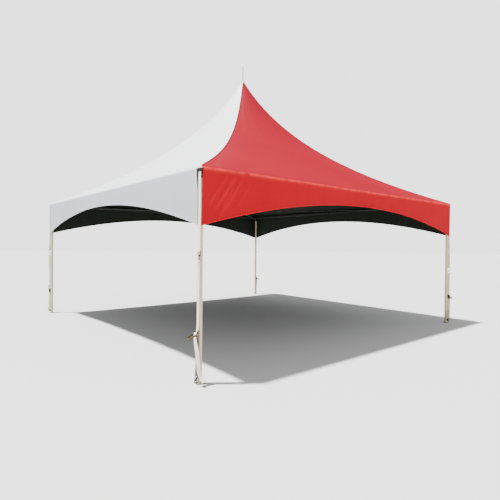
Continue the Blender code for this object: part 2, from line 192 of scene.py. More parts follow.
clothBase = {
    "mottleScale": 0.55, "streaks": 0.2, "grime": 0.35, "foldSheen": 0.6, "threadPitch": 0.0016,
    "weaveDepth": 0.00004, "roughness": 0.42, "specular": 0.3, "stitchRows": (), "stitchLength": 0.004,
}
whiteRoofCloth = clothBase | {
    "colour": (240, 241, 242), "mottled": (235, 237, 238), "stainAndShade": (205, 206, 202),
    "wearAndSheen": (246, 246, 246), "streaks": 0.16, "thread": (205, 206, 204),
}
# Painted shade: the sides' white cloth is the roof's cloth made darker and bluer
shadedWhiteSideCloth = whiteRoofCloth | {
    "colour": (192, 195, 201), "mottled": (186, 189, 195), "stainAndShade": (164, 166, 166),
}
redRoofCloth = clothBase | {
    "colour": (140, 14, 33), "mottled": (135, 12, 30), "stainAndShade": (116, 16, 28), "wearAndSheen": (252, 62, 58),
    "foldSheen": 0.9, "thread": (104, 20, 26), "specular": 0.05, "roughness": 0.55,
}
# Painted light: the red sides are the roof's red cloth made brighter, for the light the roof gets more
# of
brightenedRedSideCloth = redRoofCloth | {
    "colour": (178, 12, 30), "mottled": (172, 11, 27), "stainAndShade": (142, 16, 26), "wearAndSheen": (246, 60, 58),
    "specular": 0.04,
}
# Painted shade: the red lap strips on the hips are darker than the roof, a painted shadow line along
# each hip
shadedRedSeamCloth = redRoofCloth | {
    "colour": (118, 14, 26), "mottled": (110, 12, 24), "stitchRows": (0.004, 0.021),
}
# Painted shade: the cloth's inside is near-black green, the shade inside the tent painted on the lining
liningShadeCloth = clothBase | {
    "colour": (27, 32, 25), "mottled": (34, 39, 31), "stainAndShade": (48, 50, 42), "wearAndSheen": (50, 54, 45),
    "mottleScale": 0.8, "streaks": 0.3, "weaveDepth": 0.00006, "roughness": 0.7, "specular": 0.08,
    "thread": (60, 64, 55),
}
hemRows = {"stitchRows": (0.0065, 0.0205)}
cloth = {name: coatedCloth(name + "_cloth", look) for name, look in {
    "white_roof": whiteRoofCloth,
    "white_side": shadedWhiteSideCloth,
    "white_hem": shadedWhiteSideCloth | hemRows,
    "red_roof": redRoofCloth,
    "red_side": brightenedRedSideCloth,
    "red_hem": brightenedRedSideCloth | hemRows,
    "red_seam": shadedRedSeamCloth,
    "white_seam": whiteRoofCloth | {"stitchRows": (0.008,)},
    "lining_shade": liningShadeCloth,
}.items()}


def woven(name, look):
    # Webbing: ribs across the strap with painted shade in their troughs, denser edges, sewn zigzags
    # and dirt in patches
    finish = Finish(name)
    place = finish.place()
    across, along, _ = finish.parts(finish.uv())
    ribs = (along * (2 * math.pi / look["ribPitch"])).sine()
    threads = (across * (2 * math.pi / look["threadPitch"])).sine()
    edge = across.absolute().ramp(look["halfWidth"] - 0.005, look["halfWidth"] - 0.003)
    dirt = finish.cloud(place, 16.0, 5.0, 0.65).ramp(0.42, 0.78)
    fuzz = finish.cloud(place, 500.0, 2.0)
    zigzag = (along * (2 * math.pi / look["zigzag"])).sine() * (look["halfWidth"] - 0.007)
    sewn = finish.attribute("sewn") * (1 - (across - zigzag).absolute().ramp(0.0007, 0.0016))
    sewn = sewn * (across * 1900).sine().absolute().ramp(0.1, 0.4)
    colour = finish.blend(fuzz.ramp(0.3, 0.7), look["colour"], look["wearAndSheen"])
    colour = finish.blend(dirt * look["dirt"], colour, look["stainAndShade"])
    # Painted shade: the troughs between the ribs are darkened towards the stain colour
    colour = finish.blend((ribs * -1).ramp(0.2, 1.0) * 0.35, colour, look["stainAndShade"])
    colour = finish.blend(sewn, colour, look["thread"])
    height = ribs * 0.00022 + threads * 0.00012 + edge * 0.0003 + fuzz * 0.0002 + sewn * 0.0005
    return finish.shade(Base_Color=colour, Roughness=0.72 + fuzz * 0.15, Normal=finish.bump(height),
                        Specular_IOR_Level=0.3)


webbingBase = {
    "ribPitch": 0.0024, "threadPitch": 0.0031, "halfWidth": 0.023, "zigzag": 0.026, "dirt": 0.5,
}
# One webbing in three tones: cream and grey are the white made darker, painted shade on straps away
# from the light and under the tail
webbing = {name: woven(name + "_webbing", webbingBase | look) for name, look in {
    "white": {"colour": (253, 244, 216), "wearAndSheen": (255, 248, 226), "stainAndShade": (222, 210, 180),
              "thread": (196, 192, 182), "dirt": 0.3},
    "cream": {"colour": (238, 230, 208), "wearAndSheen": (244, 238, 220), "stainAndShade": (196, 184, 158),
              "thread": (160, 150, 128)},
    "grey_shaded": {"colour": (92, 88, 77), "wearAndSheen": (106, 102, 90), "stainAndShade": (58, 54, 45),
             "thread": (50, 47, 40), "dirt": 0.8},
}.items()}


def paintedTube(name, look):
    # Brushed-on tube paint with dull scuffs along the tube, chips down to the metal and dust low down
    finish = Finish(name)
    place = finish.place()
    height = finish.parts(place)[2]
    mottle = finish.cloud(place, 5.0, 4.0, 0.6)
    scuffs = finish.cloud(finish.scaled(place, (70.0, 70.0, 6.0)), 1.0, 5.0, 0.7).ramp(0.58, 0.72)
    chips = finish.cloud(place, 46.0, 6.0, 0.75).ramp(look["chipsFrom"], look["chipsFrom"] + 0.03)
    dust = height.ramp(look["dustTop"], 0.0) * finish.cloud(place, 9.0, 5.0, 0.6).ramp(0.3, 0.7)
    peel = finish.cloud(place, 420.0, 2.0)
    colour = finish.blend(mottle.ramp(0.35, 0.7), look["colour"], look["mottled"])
    colour = finish.blend(scuffs * 0.5, colour, look["scuffed"])
    colour = finish.blend(dust * 0.6, colour, look["dust"])
    colour = finish.blend(chips, colour, look["metal"])
    bumps = peel * 0.00012 + mottle * 0.0002 - chips * 0.0002
    return finish.shade(Base_Color=colour, Roughness=look["roughness"] + scuffs * 0.2 + dust * 0.2,
                        Metallic=chips * 0.7, Normal=finish.bump(bumps),
                        Specular_IOR_Level=look["specular"])


creamPaint = {
    "colour": (206, 186, 154), "mottled": (212, 194, 164), "scuffed": (182, 163, 138),
    "dust": (150, 134, 112), "metal": (120, 112, 102), "dustTop": 0.5, "chipsFrom": 0.74,
    "roughness": 0.34, "specular": 0.5,
}
# Painted shade: the rails and the mast get a near-black paint for the shade inside the tent
railShadeLook = creamPaint | {
    "colour": (30, 33, 28), "mottled": (36, 39, 33), "scuffed": (50, 52, 46), "dust": (54, 54, 46),
    "metal": (92, 90, 82), "roughness": 0.65, "specular": 0.12,
}
tubePaint = paintedTube("cream_tube_paint", creamPaint)
railShadePaint = paintedTube("rail_paint_painted_shade", railShadeLook)


def platedSteel(name, look):
    # Plated steel: a faint grain of crystals, dull patches, and rust where the plating has gone
    finish = Finish(name)
    place = finish.place()
    grain = finish.parts(finish.cells(place, look["grainScale"]))[0]
    mottle = finish.cloud(place, look["mottleScale"], 4.0, 0.6)
    rust = finish.cloud(place, look["rustScale"], 6.0, 0.72)
    rust = rust.ramp(look["rustFrom"], look["rustFrom"] + 0.12)
    scratches = finish.cloud(finish.scaled(place, (30.0, 260.0, 30.0)), 1.0, 3.0).ramp(0.55, 0.7)
    colour = finish.blend(grain * 0.5 + mottle.ramp(0.3, 0.7) * 0.5, look["colour"], look["mottled"])
    colour = finish.blend(rust * look["rusty"], colour, look["rust"])
    metallic = look["metallic"] * (1 - rust * 0.8 * look["rusty"])
    roughness = look["roughness"] + mottle * 0.15 + grain * 0.06 + rust * 0.2 - scratches * 0.08
    bumps = mottle * 0.0003 + rust * 0.0003 - scratches * 0.00006
    return finish.shade(Base_Color=colour, Roughness=roughness, Metallic=metallic,
                        Normal=finish.bump(bumps))


zincPlating = {
    "colour": (150, 150, 144), "mottled": (176, 175, 168), "rust": (104, 72, 48), "grainScale": 120.0,
    "mottleScale": 24.0, "rustScale": 18.0, "rustFrom": 0.58, "rusty": 0.6, "metallic": 0.85,
    "roughness": 0.36,
}
yellowPlating = zincPlating | {
    "colour": (72, 64, 43), "mottled": (94, 82, 55), "rust": (62, 44, 30), "grainScale": 300.0,
    "roughness": 0.38, "metallic": 0.5,
}
# The hooks' own dark steel; on the corner fittings the same dark colour is painted shade
darkPlatingAndShade = zincPlating | {
    "colour": (44, 41, 31), "mottled": (60, 56, 43), "rust": (62, 46, 33), "metallic": 0.5,
    "roughness": 0.42,
}
# Painted shade: the band on the strap bar is near-black green, the shade inside the corner
strapBarShade = darkPlatingAndShade | {"colour": (36, 40, 33), "mottled": (44, 47, 39), "metallic": 0.1}
zinc = platedSteel("zinc_plating", zincPlating)
yellowSteel = platedSteel("yellow_zinc_plating", yellowPlating)
darkSteelAndShade = platedSteel("dark_hook_and_fitting_shade_steel", darkPlatingAndShade)
strapBarShadeSteel = platedSteel("strap_bar_painted_shade", strapBarShade)


def wireRope(name, look):
    # Twisted wire rope: six strands that wind round it, with painted shade in the grooves between them
    finish = Finish(name)
    around, along, _ = finish.parts(finish.uv())
    strands = ((around * 6 + along / look["lay"]) * (2 * math.pi)).sine()
    dirt = finish.cloud(finish.place(), 12.0, 4.0, 0.6).ramp(0.4, 0.75)
    colour = finish.blend(strands.ramp(0.2, -0.9), look["colour"], look["grooveShadeAndDirt"])
    colour = finish.blend(dirt * 0.4, colour, look["grooveShadeAndDirt"])
    return finish.shade(Base_Color=colour, Roughness=0.38 + dirt * 0.2, Metallic=0.85,
                        Normal=finish.bump(strands * look["relief"]))


# Painted shade: the rope's colour is darkened for the shade inside the tent
rope = wireRope("wire_rope", {
    "lay": 0.052, "relief": 0.0007, "colour": (96, 96, 91), "grooveShadeAndDirt": (40, 39, 36),
})
print("finishes done")


# Mesh helpers


def newPiece(name, points, faces, materials, cuts, values):
    # A mesh with cloth coordinates, in metres, and other named values, one for each point
    mesh = bpy.data.meshes.new(name)
    mesh.from_pydata([tuple(point) for point in points], [], faces)
    for material in materials:
        mesh.materials.append(material)
    layer = mesh.uv_layers.new(name="cloth")
    for loop in mesh.loops:
        layer.data[loop.index].uv = cuts[loop.vertex_index]
    for key, numbers in values.items():
        mesh.attributes.new(key, "FLOAT", "POINT").data.foreach_set("value", numbers)
    piece = bpy.data.objects.new(name, mesh)
    bpy.context.scene.collection.objects.link(piece)
    return piece


def gridFaces(rows, columns):
    # Faces of a grid whose points are listed row by row
    starts = [i * columns + j for i in range(rows - 1) for j in range(columns - 1)]
    return [(a, a + 1, a + 1 + columns, a + columns) for a in starts]


def shellFaces(rows, columns):
    # Faces of a closed strip: each row is a ring of points, and the first and last rows are capped
    faces = []
    for i, j in itertools.product(range(rows - 1), range(columns)):
        a, b = i * columns + j, i * columns + (j + 1) % columns
        faces.append((a, b, b + columns, a + columns))
    last = (rows - 1) * columns
    return faces + [tuple(range(columns)), tuple(range(last, last + columns))]


def shell(name, rings, cuts, materials, matrix=Matrix(), angle=50, **values):
    # A closed strip through rings of points, smooth up to an angle, or with flat faces
    points = [point for ring in rings for point in ring]
    piece = newPiece(name, points, shellFaces(len(rings), len(rings[0])), materials, cuts, values)
    piece.data.transform(matrix)
    take(piece)
    bpy.ops.object.mode_set(mode="EDIT")
    bpy.ops.mesh.select_all(action="SELECT")
    bpy.ops.mesh.normals_make_consistent(inside=False)
    bpy.ops.object.mode_set(mode="OBJECT")
    if angle:
        smoothShade(piece, angle)
    return piece


def between(a, b, share):
    return a + (b - a) * min(max(share, 0), 1)


def through(values, i, t):
    # A smooth value between two listed ones, by a Catmull-Rom curve
    a, b, c, d = (values[min(max(k, 0), len(values) - 1)] for k in (i - 1, i, i + 1, i + 2))
    return b + 0.5 * t * (c - a + t * (2 * a - 5 * b + 4 * c - d + t * (3 * (b - c) + d - a)))


# Shaping helpers, all on Blender's own operators


def take(*pieces):
    # Makes these pieces the only ones that the operators act on
    bpy.ops.object.select_all(action="DESELECT")
    for piece in pieces:
        piece.select_set(True)
    bpy.context.view_layer.objects.active = pieces[0]


def applyModifier(piece, kind, **settings):
    take(piece)
    modifier = piece.modifiers.new(kind.title(), kind)
    for name, value in settings.items():
        setattr(modifier, name, value)
    bpy.ops.object.modifier_apply(modifier=modifier.name)


def smoothShade(piece, degrees=40):
    take(piece)
    bpy.ops.object.shade_smooth_by_angle(angle=math.radians(degrees))


def ready(name, material, degrees=40):
    # Ends the edit of the active piece: faces out, its place in the mesh, its finish
    bpy.ops.mesh.select_all(action="SELECT")
    bpy.ops.mesh.normals_make_consistent(inside=False)
    bpy.ops.object.mode_set(mode="OBJECT")
    bpy.ops.object.transform_apply(location=True, rotation=True, scale=True)
    piece = bpy.context.object
    piece.name = piece.data.name = name
    piece.data.materials.append(material)
    smoothShade(piece, degrees)
    return piece


def turnedPiece(name, rows, material, sides=32, degrees=40):
    # A round piece about the Z axis through (radius, height) rows from the lowest up
    bpy.ops.object.select_all(action="DESELECT")
    radius, height = rows[0]
    bpy.ops.mesh.primitive_circle_add(vertices=sides, radius=radius, fill_type="NGON",
                                      location=(0, 0, height), enter_editmode=True)
    for (r0, z0), (r1, z1) in zip(rows, rows[1:]):
        bpy.ops.mesh.extrude_region_move(TRANSFORM_OT_translate={"value": (0, 0, z1 - z0)})
        bpy.ops.transform.resize(value=(r1 / r0, r1 / r0, 1), center_override=(0, 0, z1))
    return ready(name, material, degrees)


def moved(piece, place, turns=0):
    piece.data.transform(Matrix.Translation(place) @ quarterTurn(turns))
    return piece


def laid(piece, start, direction):
    # Turns a piece made along Z so that it starts at a point and runs in a direction
    turn = Vector(direction).to_track_quat("Z", "Y").to_matrix().to_4x4()
    piece.data.transform(Matrix.Translation(start) @ turn)
    return piece


def sweptBar(name, path, section, material, sides=12, closed=False):
    # A bar bent along (x, z) points. section is a radius, or (thickness, width) of a flat bar
    bpy.ops.object.select_all(action="DESELECT")
    points = [Vector((x, 0, z)) for x, z in path]
    ring = points + [points[0]] if closed else points
    runs = [(b - a).normalized() for a, b in zip(ring, ring[1:])]
    ends = [runs[-1] + runs[0]] if closed else [runs[0]]
    tangents = ends + [a + b for a, b in zip(runs, runs[1:])] + (ends if closed else [runs[-1]])
    angles = [math.atan2(t.x, t.z) for t in tangents]
    if isinstance(section, tuple):
        bpy.ops.mesh.primitive_plane_add(size=1, enter_editmode=True)
        bpy.ops.transform.resize(value=(section[0], section[1], 1), center_override=(0, 0, 0))
    else:
        bpy.ops.mesh.primitive_circle_add(vertices=sides, radius=section, enter_editmode=True,
                                          fill_type="NOTHING" if closed else "NGON")
    bpy.ops.transform.rotate(value=-angles[0], orient_axis="Y", center_override=(0, 0, 0))
    bpy.ops.transform.translate(value=ring[0])
    for i in range(1, len(ring)):
        step = ring[i] - ring[i - 1]
        turn = (angles[i] - angles[i - 1] + math.pi) % (2 * math.pi) - math.pi
        bpy.ops.mesh.extrude_region_move(TRANSFORM_OT_translate={"value": step})
        bpy.ops.transform.rotate(value=-turn, orient_axis="Y", center_override=ring[i])
    bpy.ops.mesh.select_all(action="SELECT")
    if closed:
        bpy.ops.mesh.remove_doubles(threshold=1e-5)
    return ready(name, material)


def arc(centre, radius, start, end, steps):
    # Points of an arc, in degrees from +x towards +z
    angles = [math.radians(start + (end - start) * i / steps) for i in range(steps + 1)]
    return [(centre[0] + radius * math.cos(a), centre[1] + radius * math.sin(a)) for a in angles]


def block(name, low, high, material, trims=(), edge=0.0):
    # A cuboid, trimmed by planes (point, direction to cut off), with its edges rounded
    size = [b - a for a, b in zip(low, high)]
    middle = [(a + b) / 2 for a, b in zip(low, high)]
    bpy.ops.object.select_all(action="DESELECT")
    bpy.ops.mesh.primitive_cube_add(size=1, location=middle, scale=size, enter_editmode=True)
    for point, direction in trims:
        bpy.ops.mesh.select_all(action="SELECT")
        bpy.ops.mesh.bisect(plane_co=point, plane_no=direction, use_fill=True, clear_outer=True)
    piece = ready(name, material, 30)
    if edge:
        applyModifier(piece, "BEVEL", width=edge, segments=2, limit_method="ANGLE",
                      angle_limit=math.radians(25))
        smoothShade(piece, 35)
    return piece


def bored(piece, cutters):
    # Cuts holes of the cutters' shape, which are then removed
    for cutter in cutters:
        applyModifier(piece, "BOOLEAN", operation="DIFFERENCE", solver="EXACT", object=cutter)
        bpy.data.objects.remove(cutter, do_unlink=True)
    smoothShade(piece, 35)
    return piece


def joined(name, pieces):
    take(*pieces)
    bpy.ops.object.join()
    piece = bpy.context.object
    piece.name = piece.data.name = name
    return piece


def copied(piece, name, matrix):
    # A copy with its own mesh, moved by the matrix
    other = piece.copy()
    other.data = piece.data.copy()
    other.name = other.data.name = name
    bpy.context.scene.collection.objects.link(other)
    other.data.transform(matrix)
    return other


def quarterTurn(turns):
    return Matrix.Rotation(math.radians(90 * turns), 4, "Z")


def assign(piece, body, slot, *nodes):
    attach(piece, body)
    if nodes:
        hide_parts(*nodes)
    return piece


# Canopy. Each panel is made on the -x side, and then turned to its own


sides = {
    "front_left": {"turns": 0, "colour": "white"},
    "front_right": {"turns": 1, "colour": "red"},
    "back_right": {"turns": 2, "colour": "white"},
    "back_left": {"turns": 3, "colour": "red"},
}
whiteFront, redFront = 0, 1

halfSide = -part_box("valance_front_left")[0].x
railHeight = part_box("roof_panel_front_left")[0].z

roof = {
    "eaveHeight": 2.442, "peakHeight": 5.07, "peakSharpness": 0.208, "wrapRadius": 0.0428,
    "crownRadius": 0.045, "hipGap": 0.0003, "clothThickness": 0.0012, "columns": 97, "rows": 84,
    "wrapRows": 10, "cutArea": 12.0, "cutSize": (6.15, 4.05), "peakFolds": 0.005, "peakFoldCount": 34,
    "sag": 0.012,
}
legOffset = halfSide - roof["wrapRadius"]


def roofLevel(x, y):
    # 0 at the peak and 1 at the eave: circles at the peak that turn into squares at the eave
    out = max(abs(x), abs(y))
    ratio = min(abs(x), abs(y)) / max(out, 1e-6)
    share = out / halfSide
    roundness = math.sqrt((1 + ratio ** 2) / 2)
    return share * (1 - (1 - roundness) * (1 - share))


def roofHeight(x, y):
    sharp = roof["peakSharpness"]
    rise = (roof["peakHeight"] - roof["eaveHeight"]) / math.log((1 + sharp) / sharp)
    return roof["eaveHeight"] + rise * math.log((1 + sharp) / (roofLevel(x, y) + sharp))


def clothNoise(x, y, seed):
    return noise.noise(Vector((x, y, seed)))


def roofRelief(out, ratio, seed):
    # How far the cloth stands off its even curve: fine folds down from the peak, and slow waves
    angle = math.atan(ratio)
    fade = math.exp(-((out - 0.25) / 0.75) ** 2) * min(out / 0.3, 1)
    wave = math.sin(angle * roof["peakFoldCount"] + 5 * clothNoise(angle * 3, out * 0.7, seed))
    folds = roof["peakFolds"] * fade * wave * (0.5 + clothNoise(angle * 5, out * 1.5, seed + 4))
    hold = (1 - abs(ratio) ** 4) * max(0, 1 - (out / halfSide) ** 6)
    slow = roof["sag"] * hold * clothNoise(out * 0.8, ratio * out * 0.8, seed + 9)
    return folds * hold + slow


def roofPoint(i, ratio, seed):
    # One (distance out, height) point of a panel, from its lower edge, round the rail, to the crown
    radius, wraps, step = roof["wrapRadius"], roof["wrapRows"], 0.01
    inner = halfSide - step
    drop = roofHeight(inner, ratio * inner) - roofHeight(halfSide, ratio * halfSide)
    slope = math.atan2(drop, step)
    angle = math.pi / 2 + (slope - math.pi / 2) * min(i / wraps, 1)
    out = halfSide - radius + radius * math.sin(angle)
    if i <= wraps:
        return out, railHeight + radius * math.cos(angle)
    end = roof["crownRadius"] / math.sqrt(1 + ratio ** 2)
    out += (end - out) * (1 - (1 - (i - wraps) / roof["rows"]) ** 1.5)
    return out, roofHeight(out, ratio * out) + roofRelief(out, ratio, seed)


def clothSheet(name, side, kinds, faces, points, cuts, **values):
    # A sheet with the lining inside, near-black as painted shade. kinds are its name, its finish and
    # the node it stands for
    kind, finish, node = kinds
    colour = side["colour"]
    materials = [cloth[colour + finish], cloth["lining_shade"]]
    piece = newPiece(kind + name, points, faces, materials, cuts, values)
    applyModifier(piece, "SOLIDIFY", thickness=roof["clothThickness"], offset=-1, use_rim=True,
                  material_offset=1)
    piece.data.transform(quarterTurn(side["turns"]))
    smoothShade(piece, 50)
    return assign(piece, "tent", colour + "_fabric", node + name)


def makeRoofPanel(name, side, seed):
    # Row by row from the eave's lower edge to the crown
    wraps, columns = roof["wrapRows"], roof["columns"]
    total = wraps + roof["rows"] + 1
    ratios = [2 * j / (columns - 1) - 1 for j in range(columns)]
    ratios = [math.copysign(1 - (1 - abs(ratio)) ** 1.15, ratio) for ratio in ratios]
    lines = [[roofPoint(i, ratio, seed) for i in range(total)] for ratio in ratios]
    lengths = [list(itertools.accumulate(map(math.dist, line, line[1:]), initial=0.0))
               for line in lines]
    points, cuts, folds = [], [], []
    for i in range(total):
        for ratio, line, sums in zip(ratios, lines, lengths):
            out, height = line[i]
            y = ratio * (out - roof["hipGap"])
            points.append((-out, y, height))
            cuts.append((y, sums[i]))
            # Painted highlight: the fold value, which makes the cloth lighter, peaks at the eave's fold
            folds.append(math.exp(-((i - wraps * 0.2) / (wraps * 0.3)) ** 2))
    faces = [face[::-1] for face in gridFaces(total, columns)]
    grime = [math.exp(-up / 0.25) * 0.5 for _, up in cuts]
    return clothSheet(name, side, ("cloth_roof_", "_roof", "roof_panel_"), faces, points, cuts,
                      fold=folds, grime=grime)


# Lap strips on the hips, and the white patch where the front hip meets the rail. Offsets are
# distances from the hip, on to the red panel. taper is the share of the patch's width that it loses
# towards its top
hipSeam = {
    "offsets": (-0.003, 0.001, 0.008, 0.017, 0.0245, 0.026), "lift": 0.0018, "under": 0.0004,
    "patchOffsets": (-0.018, -0.015, -0.004, 0.010, 0.026, 0.0285), "patchLift": 0.0026,
    "patchRows": 3, "taper": 0.8,
}


def hipStrip(name, side, seed, hand, offsets, lift, rows, colour, taper=0.0):
    # The strip along one hip of the -x panel, proud of the panel and closed underneath
    rings, cuts, length = [], [], 0.0
    for i in rows:
        base = roofPoint(i, 1.0, seed)[0]
        kept = 1 - taper * (i - rows[0]) / (rows[-1] - rows[0])
        places = [offset * kept for offset in offsets]
        ring = []
        for offset in places + places[::-1]:
            raised = lift if len(ring) < len(offsets) else -hipSeam["under"]
            if offset in (places[0], places[-1]):
                raised *= 0.6
            ratio = 1 - abs(offset) / max(base, 0.06)
            here, after = roofPoint(i, ratio, seed), roofPoint(i + 1, ratio, seed)
            step = math.dist(here, after)
            out = here[0] + raised * (after[1] - here[1]) / step
            height = here[1] + raised * (here[0] - after[0]) / step
            y = ratio * (out - roof["hipGap"])
            ring.append((-out, hand * y, height) if offset >= 0 else (-y, hand * out, height))
        if rings:
            length += math.dist(rings[-1][1], ring[1])
        rings.append(ring)
        cuts += [(length, offset) for offset in offsets + offsets[::-1]]
    # The red strips take the darker seam cloth: a painted shadow line along the hip
    piece = shell(name, rings, cuts, [cloth[colour + "_seam"]], quarterTurn(side["turns"]))
    return assign(piece, "tent", colour + "_fabric")


def makeHipSeam(name, side, seed, hand):
    wraps = roof["wrapRows"]
    atFront = side["turns"] == redFront and hand == 1
    rows = range(wraps if atFront else 0, wraps + roof["rows"] - 2)
    pieces = [hipStrip(name, side, seed, hand, hipSeam["offsets"], hipSeam["lift"], rows, "red")]
    if atFront:
        rows = range(wraps + hipSeam["patchRows"])
        pieces.append(hipStrip("corner_patch_front", side, seed, hand, hipSeam["patchOffsets"],
                               hipSeam["patchLift"], rows, "white", hipSeam["taper"]))
    return pieces


valance = {
    "inset": 0.014, "slitTop": 0.075, "slitLow": 0.046, "slitTaperEnd": 2.11, "cornerHeight": 1.77,
    "archRise": 0.41, "top": railHeight - 0.0003, "columns": 361, "rows": 33, "cutArea": 2.3,
    "cutSize": (6.05, 0.65), "ripple": 0.009, "edgeRipple": 0.006, "crestSheen": 11.0,
    "gapLow": 0.010, "gapTop": 0.022,
}

# Wrinkles of the front red valance: (distance from the corner, drop below the top) of both ends,
# half width and height
redWrinkles = [
    ((0.48, 0.06), (0.24, 0.40), 0.022, 0.014),
    ((0.58, 0.09), (0.36, 0.42), 0.020, 0.012),
    ((0.46, 0.19), (0.34, 0.38), 0.014, 0.008),
    ((0.36, 0.36), (0.28, 0.52), 0.018, 0.009),
    ((0.20, 0.28), (0.13, 0.40), 0.018, 0.008),
    ((0.38, 0.04), (0.17, 0.32), 0.018, 0.008),
    ((0.72, 0.10), (0.56, 0.36), 0.024, 0.006),
]


def archHeight(y):
    return valance["cornerHeight"] + valance["archRise"] * (1 - (y / halfSide) ** 2)


def wrinkleRelief(along, drop):
    total = 0
    for (a0, d0), (a1, d1), width, height in redWrinkles:
        run, fall = a1 - a0, d1 - d0
        share = ((along - a0) * run + (drop - d0) * fall) / (run * run + fall * fall)
        near = min(max(share, 0), 1)
        distance = math.hypot(along - a0 - near * run, drop - d0 - near * fall)
        total += height * math.exp(-(distance / width) ** 2) * (0.55 + 0.45 * math.sin(math.pi * near))
    return total


def valanceFace(side, y, height, seed):
    # Where the outer face of the -x valance is
    drop = valance["top"] - height
    down = drop / (valance["top"] - archHeight(y))
    ends = min(max((halfSide - abs(y) - 0.05) / 0.2, 0), 1)
    free = min(max(drop, 0) / 0.25, 1) ** 1.5
    relief = valance["ripple"] * free * clothNoise(y * 1.1, height * 1.4, seed)
    relief += valance["edgeRipple"] * down ** 3 * clothNoise(y * 3.5, 0, seed + 3)
    if side["turns"] == redFront:
        relief += wrinkleRelief(halfSide - y, drop) * min(drop / 0.06, 1)
    return -halfSide - relief * ends


def slitEdge(height):
    # Where the cut at the strap is, from the front corner
    taper = (height - valance["slitTaperEnd"]) / (valance["top"] - valance["slitTaperEnd"])
    return valance["slitLow"] + (valance["slitTop"] - valance["slitLow"]) * max(0, taper)


def frontGap(height):
    # How much further the red valance's edge is from the front corner than at the other corners
    rise = (height - valance["cornerHeight"]) / (valance["top"] - valance["cornerHeight"])
    return between(valance["gapLow"], valance["gapTop"], rise)


def valanceColumn(side, along, down):
    # (y, height) of a point of the valance, by its shares along the side and down it
    def heightAt(y):
        return valance["top"] + (archHeight(y) - valance["top"]) * down
    end = halfSide - valance["inset"]
    y = -end + 2 * end * along
    height = heightAt(y)
    if side["turns"] == redFront:
        y -= frontGap(height) * along
    if side["turns"] == whiteFront:
        cut = slitEdge(height)
        y = -halfSide + cut + (end + halfSide - cut) * along
    return y, heightAt(y)


def makeValance(name, side, seed):
    rows, columns = valance["rows"], valance["columns"]
    points, cuts, low, folds = [], [], [], []
    for i, j in itertools.product(range(rows), range(columns)):
        down = i / (rows - 1)
        y, height = valanceColumn(side, j / (columns - 1), down)
        drop = valance["top"] - height
        points.append((valanceFace(side, y, height, seed), y, height))
        cuts.append((y, drop))
        low.append(down ** 3)
        crest = wrinkleRelief(halfSide - y, drop) if side["turns"] == redFront else 0
        # Painted highlight: lighter along the valance's top fold and on the wrinkle crests of the front
        # red valance
        folds.append(0.7 * math.exp(-drop / 0.010) + valance["crestSheen"] * crest)
    return clothSheet(name, side, ("cloth_valance_", "_side", "valance_"), gridFaces(rows, columns),
                      points, cuts, fold=folds, grime=low)


# Cross section of the doubled hem: distance in from the valance's outer face, height over its edge.
# The fifth to the eighth stretch are lined
hemSection = [
    (-0.0014, 0.0245), (-0.0016, 0.012), (-0.0018, 0.003), (-0.0013, -0.0014), (0.0006, -0.003),
    (0.0025, -0.0014), (0.0030, 0.003), (0.0028, 0.0245), (0.0012, 0.0252), (-0.0002, 0.0252),
]


def makeHem(name, side, seed):
    # The doubled lower edge, along the arch
    rings, cuts, length, columns = [], [], 0.0, valance["columns"]
    for j in range(columns):
        y, low = valanceColumn(side, j / (columns - 1), 1.0)
        rings.append([(valanceFace(side, y, low + max(rise, 0), seed) + inward, y, low + rise)
                      for inward, rise in hemSection])
        if j:
            length += math.dist(rings[-1][-1], rings[-2][-1])
        cuts += [(length, rise) for _, rise in hemSection]
    # The fold value makes the hem's lowest rows a little lighter
    piece = shell("hem_" + name, rings, cuts, [cloth[side["colour"] + "_hem"], cloth["lining_shade"]],
                  quarterTurn(side["turns"]),
                  fold=[0.2 if rise < 0.004 else 0.0 for _, rise in hemSection] * columns)
    for face in piece.data.polygons[:-2]:
        face.material_index = int(4 <= face.index % len(hemSection) <= 7)
    return assign(piece, "tent", side["colour"] + "_fabric")


def cornerMatrix(turns, hand=1):
    # From a corner's own frame, where the leg's axis is the Z axis and the strap is on its -x side.
    # The mirror image has a hand of -1
    move = Matrix.Translation((-legOffset, -legOffset * hand, 0))
    return quarterTurn(turns) @ move @ Matrix.Diagonal((1, hand, 1, 1))


# Strips that join two valances round a corner, in the corner's own frame
cornerWrap = {"overlap": 0.020, "proud": 0.0009, "thickness": 0.0011, "rows": 40, "straight": 0.006}


def wrapPlan(closed):
    # (x, y) points and outward directions of the strip, from the red valance round the corner
    face, inset = -roof["wrapRadius"], valance["inset"]
    bend = face + inset
    reaches = [bend + cornerWrap["overlap"], bend + cornerWrap["straight"]]
    plan = [((reach, face), (0, -1)) for reach in reaches]
    for turn in range(0, 91, 10) if closed else (0,):
        a = math.radians(turn)
        away = (-math.sin(a), -math.cos(a))
        plan.append(((bend + inset * away[0], bend + inset * away[1]), away))
    return plan + [((face, reach), (-1, 0)) for reach in reaches[::-1] if closed]


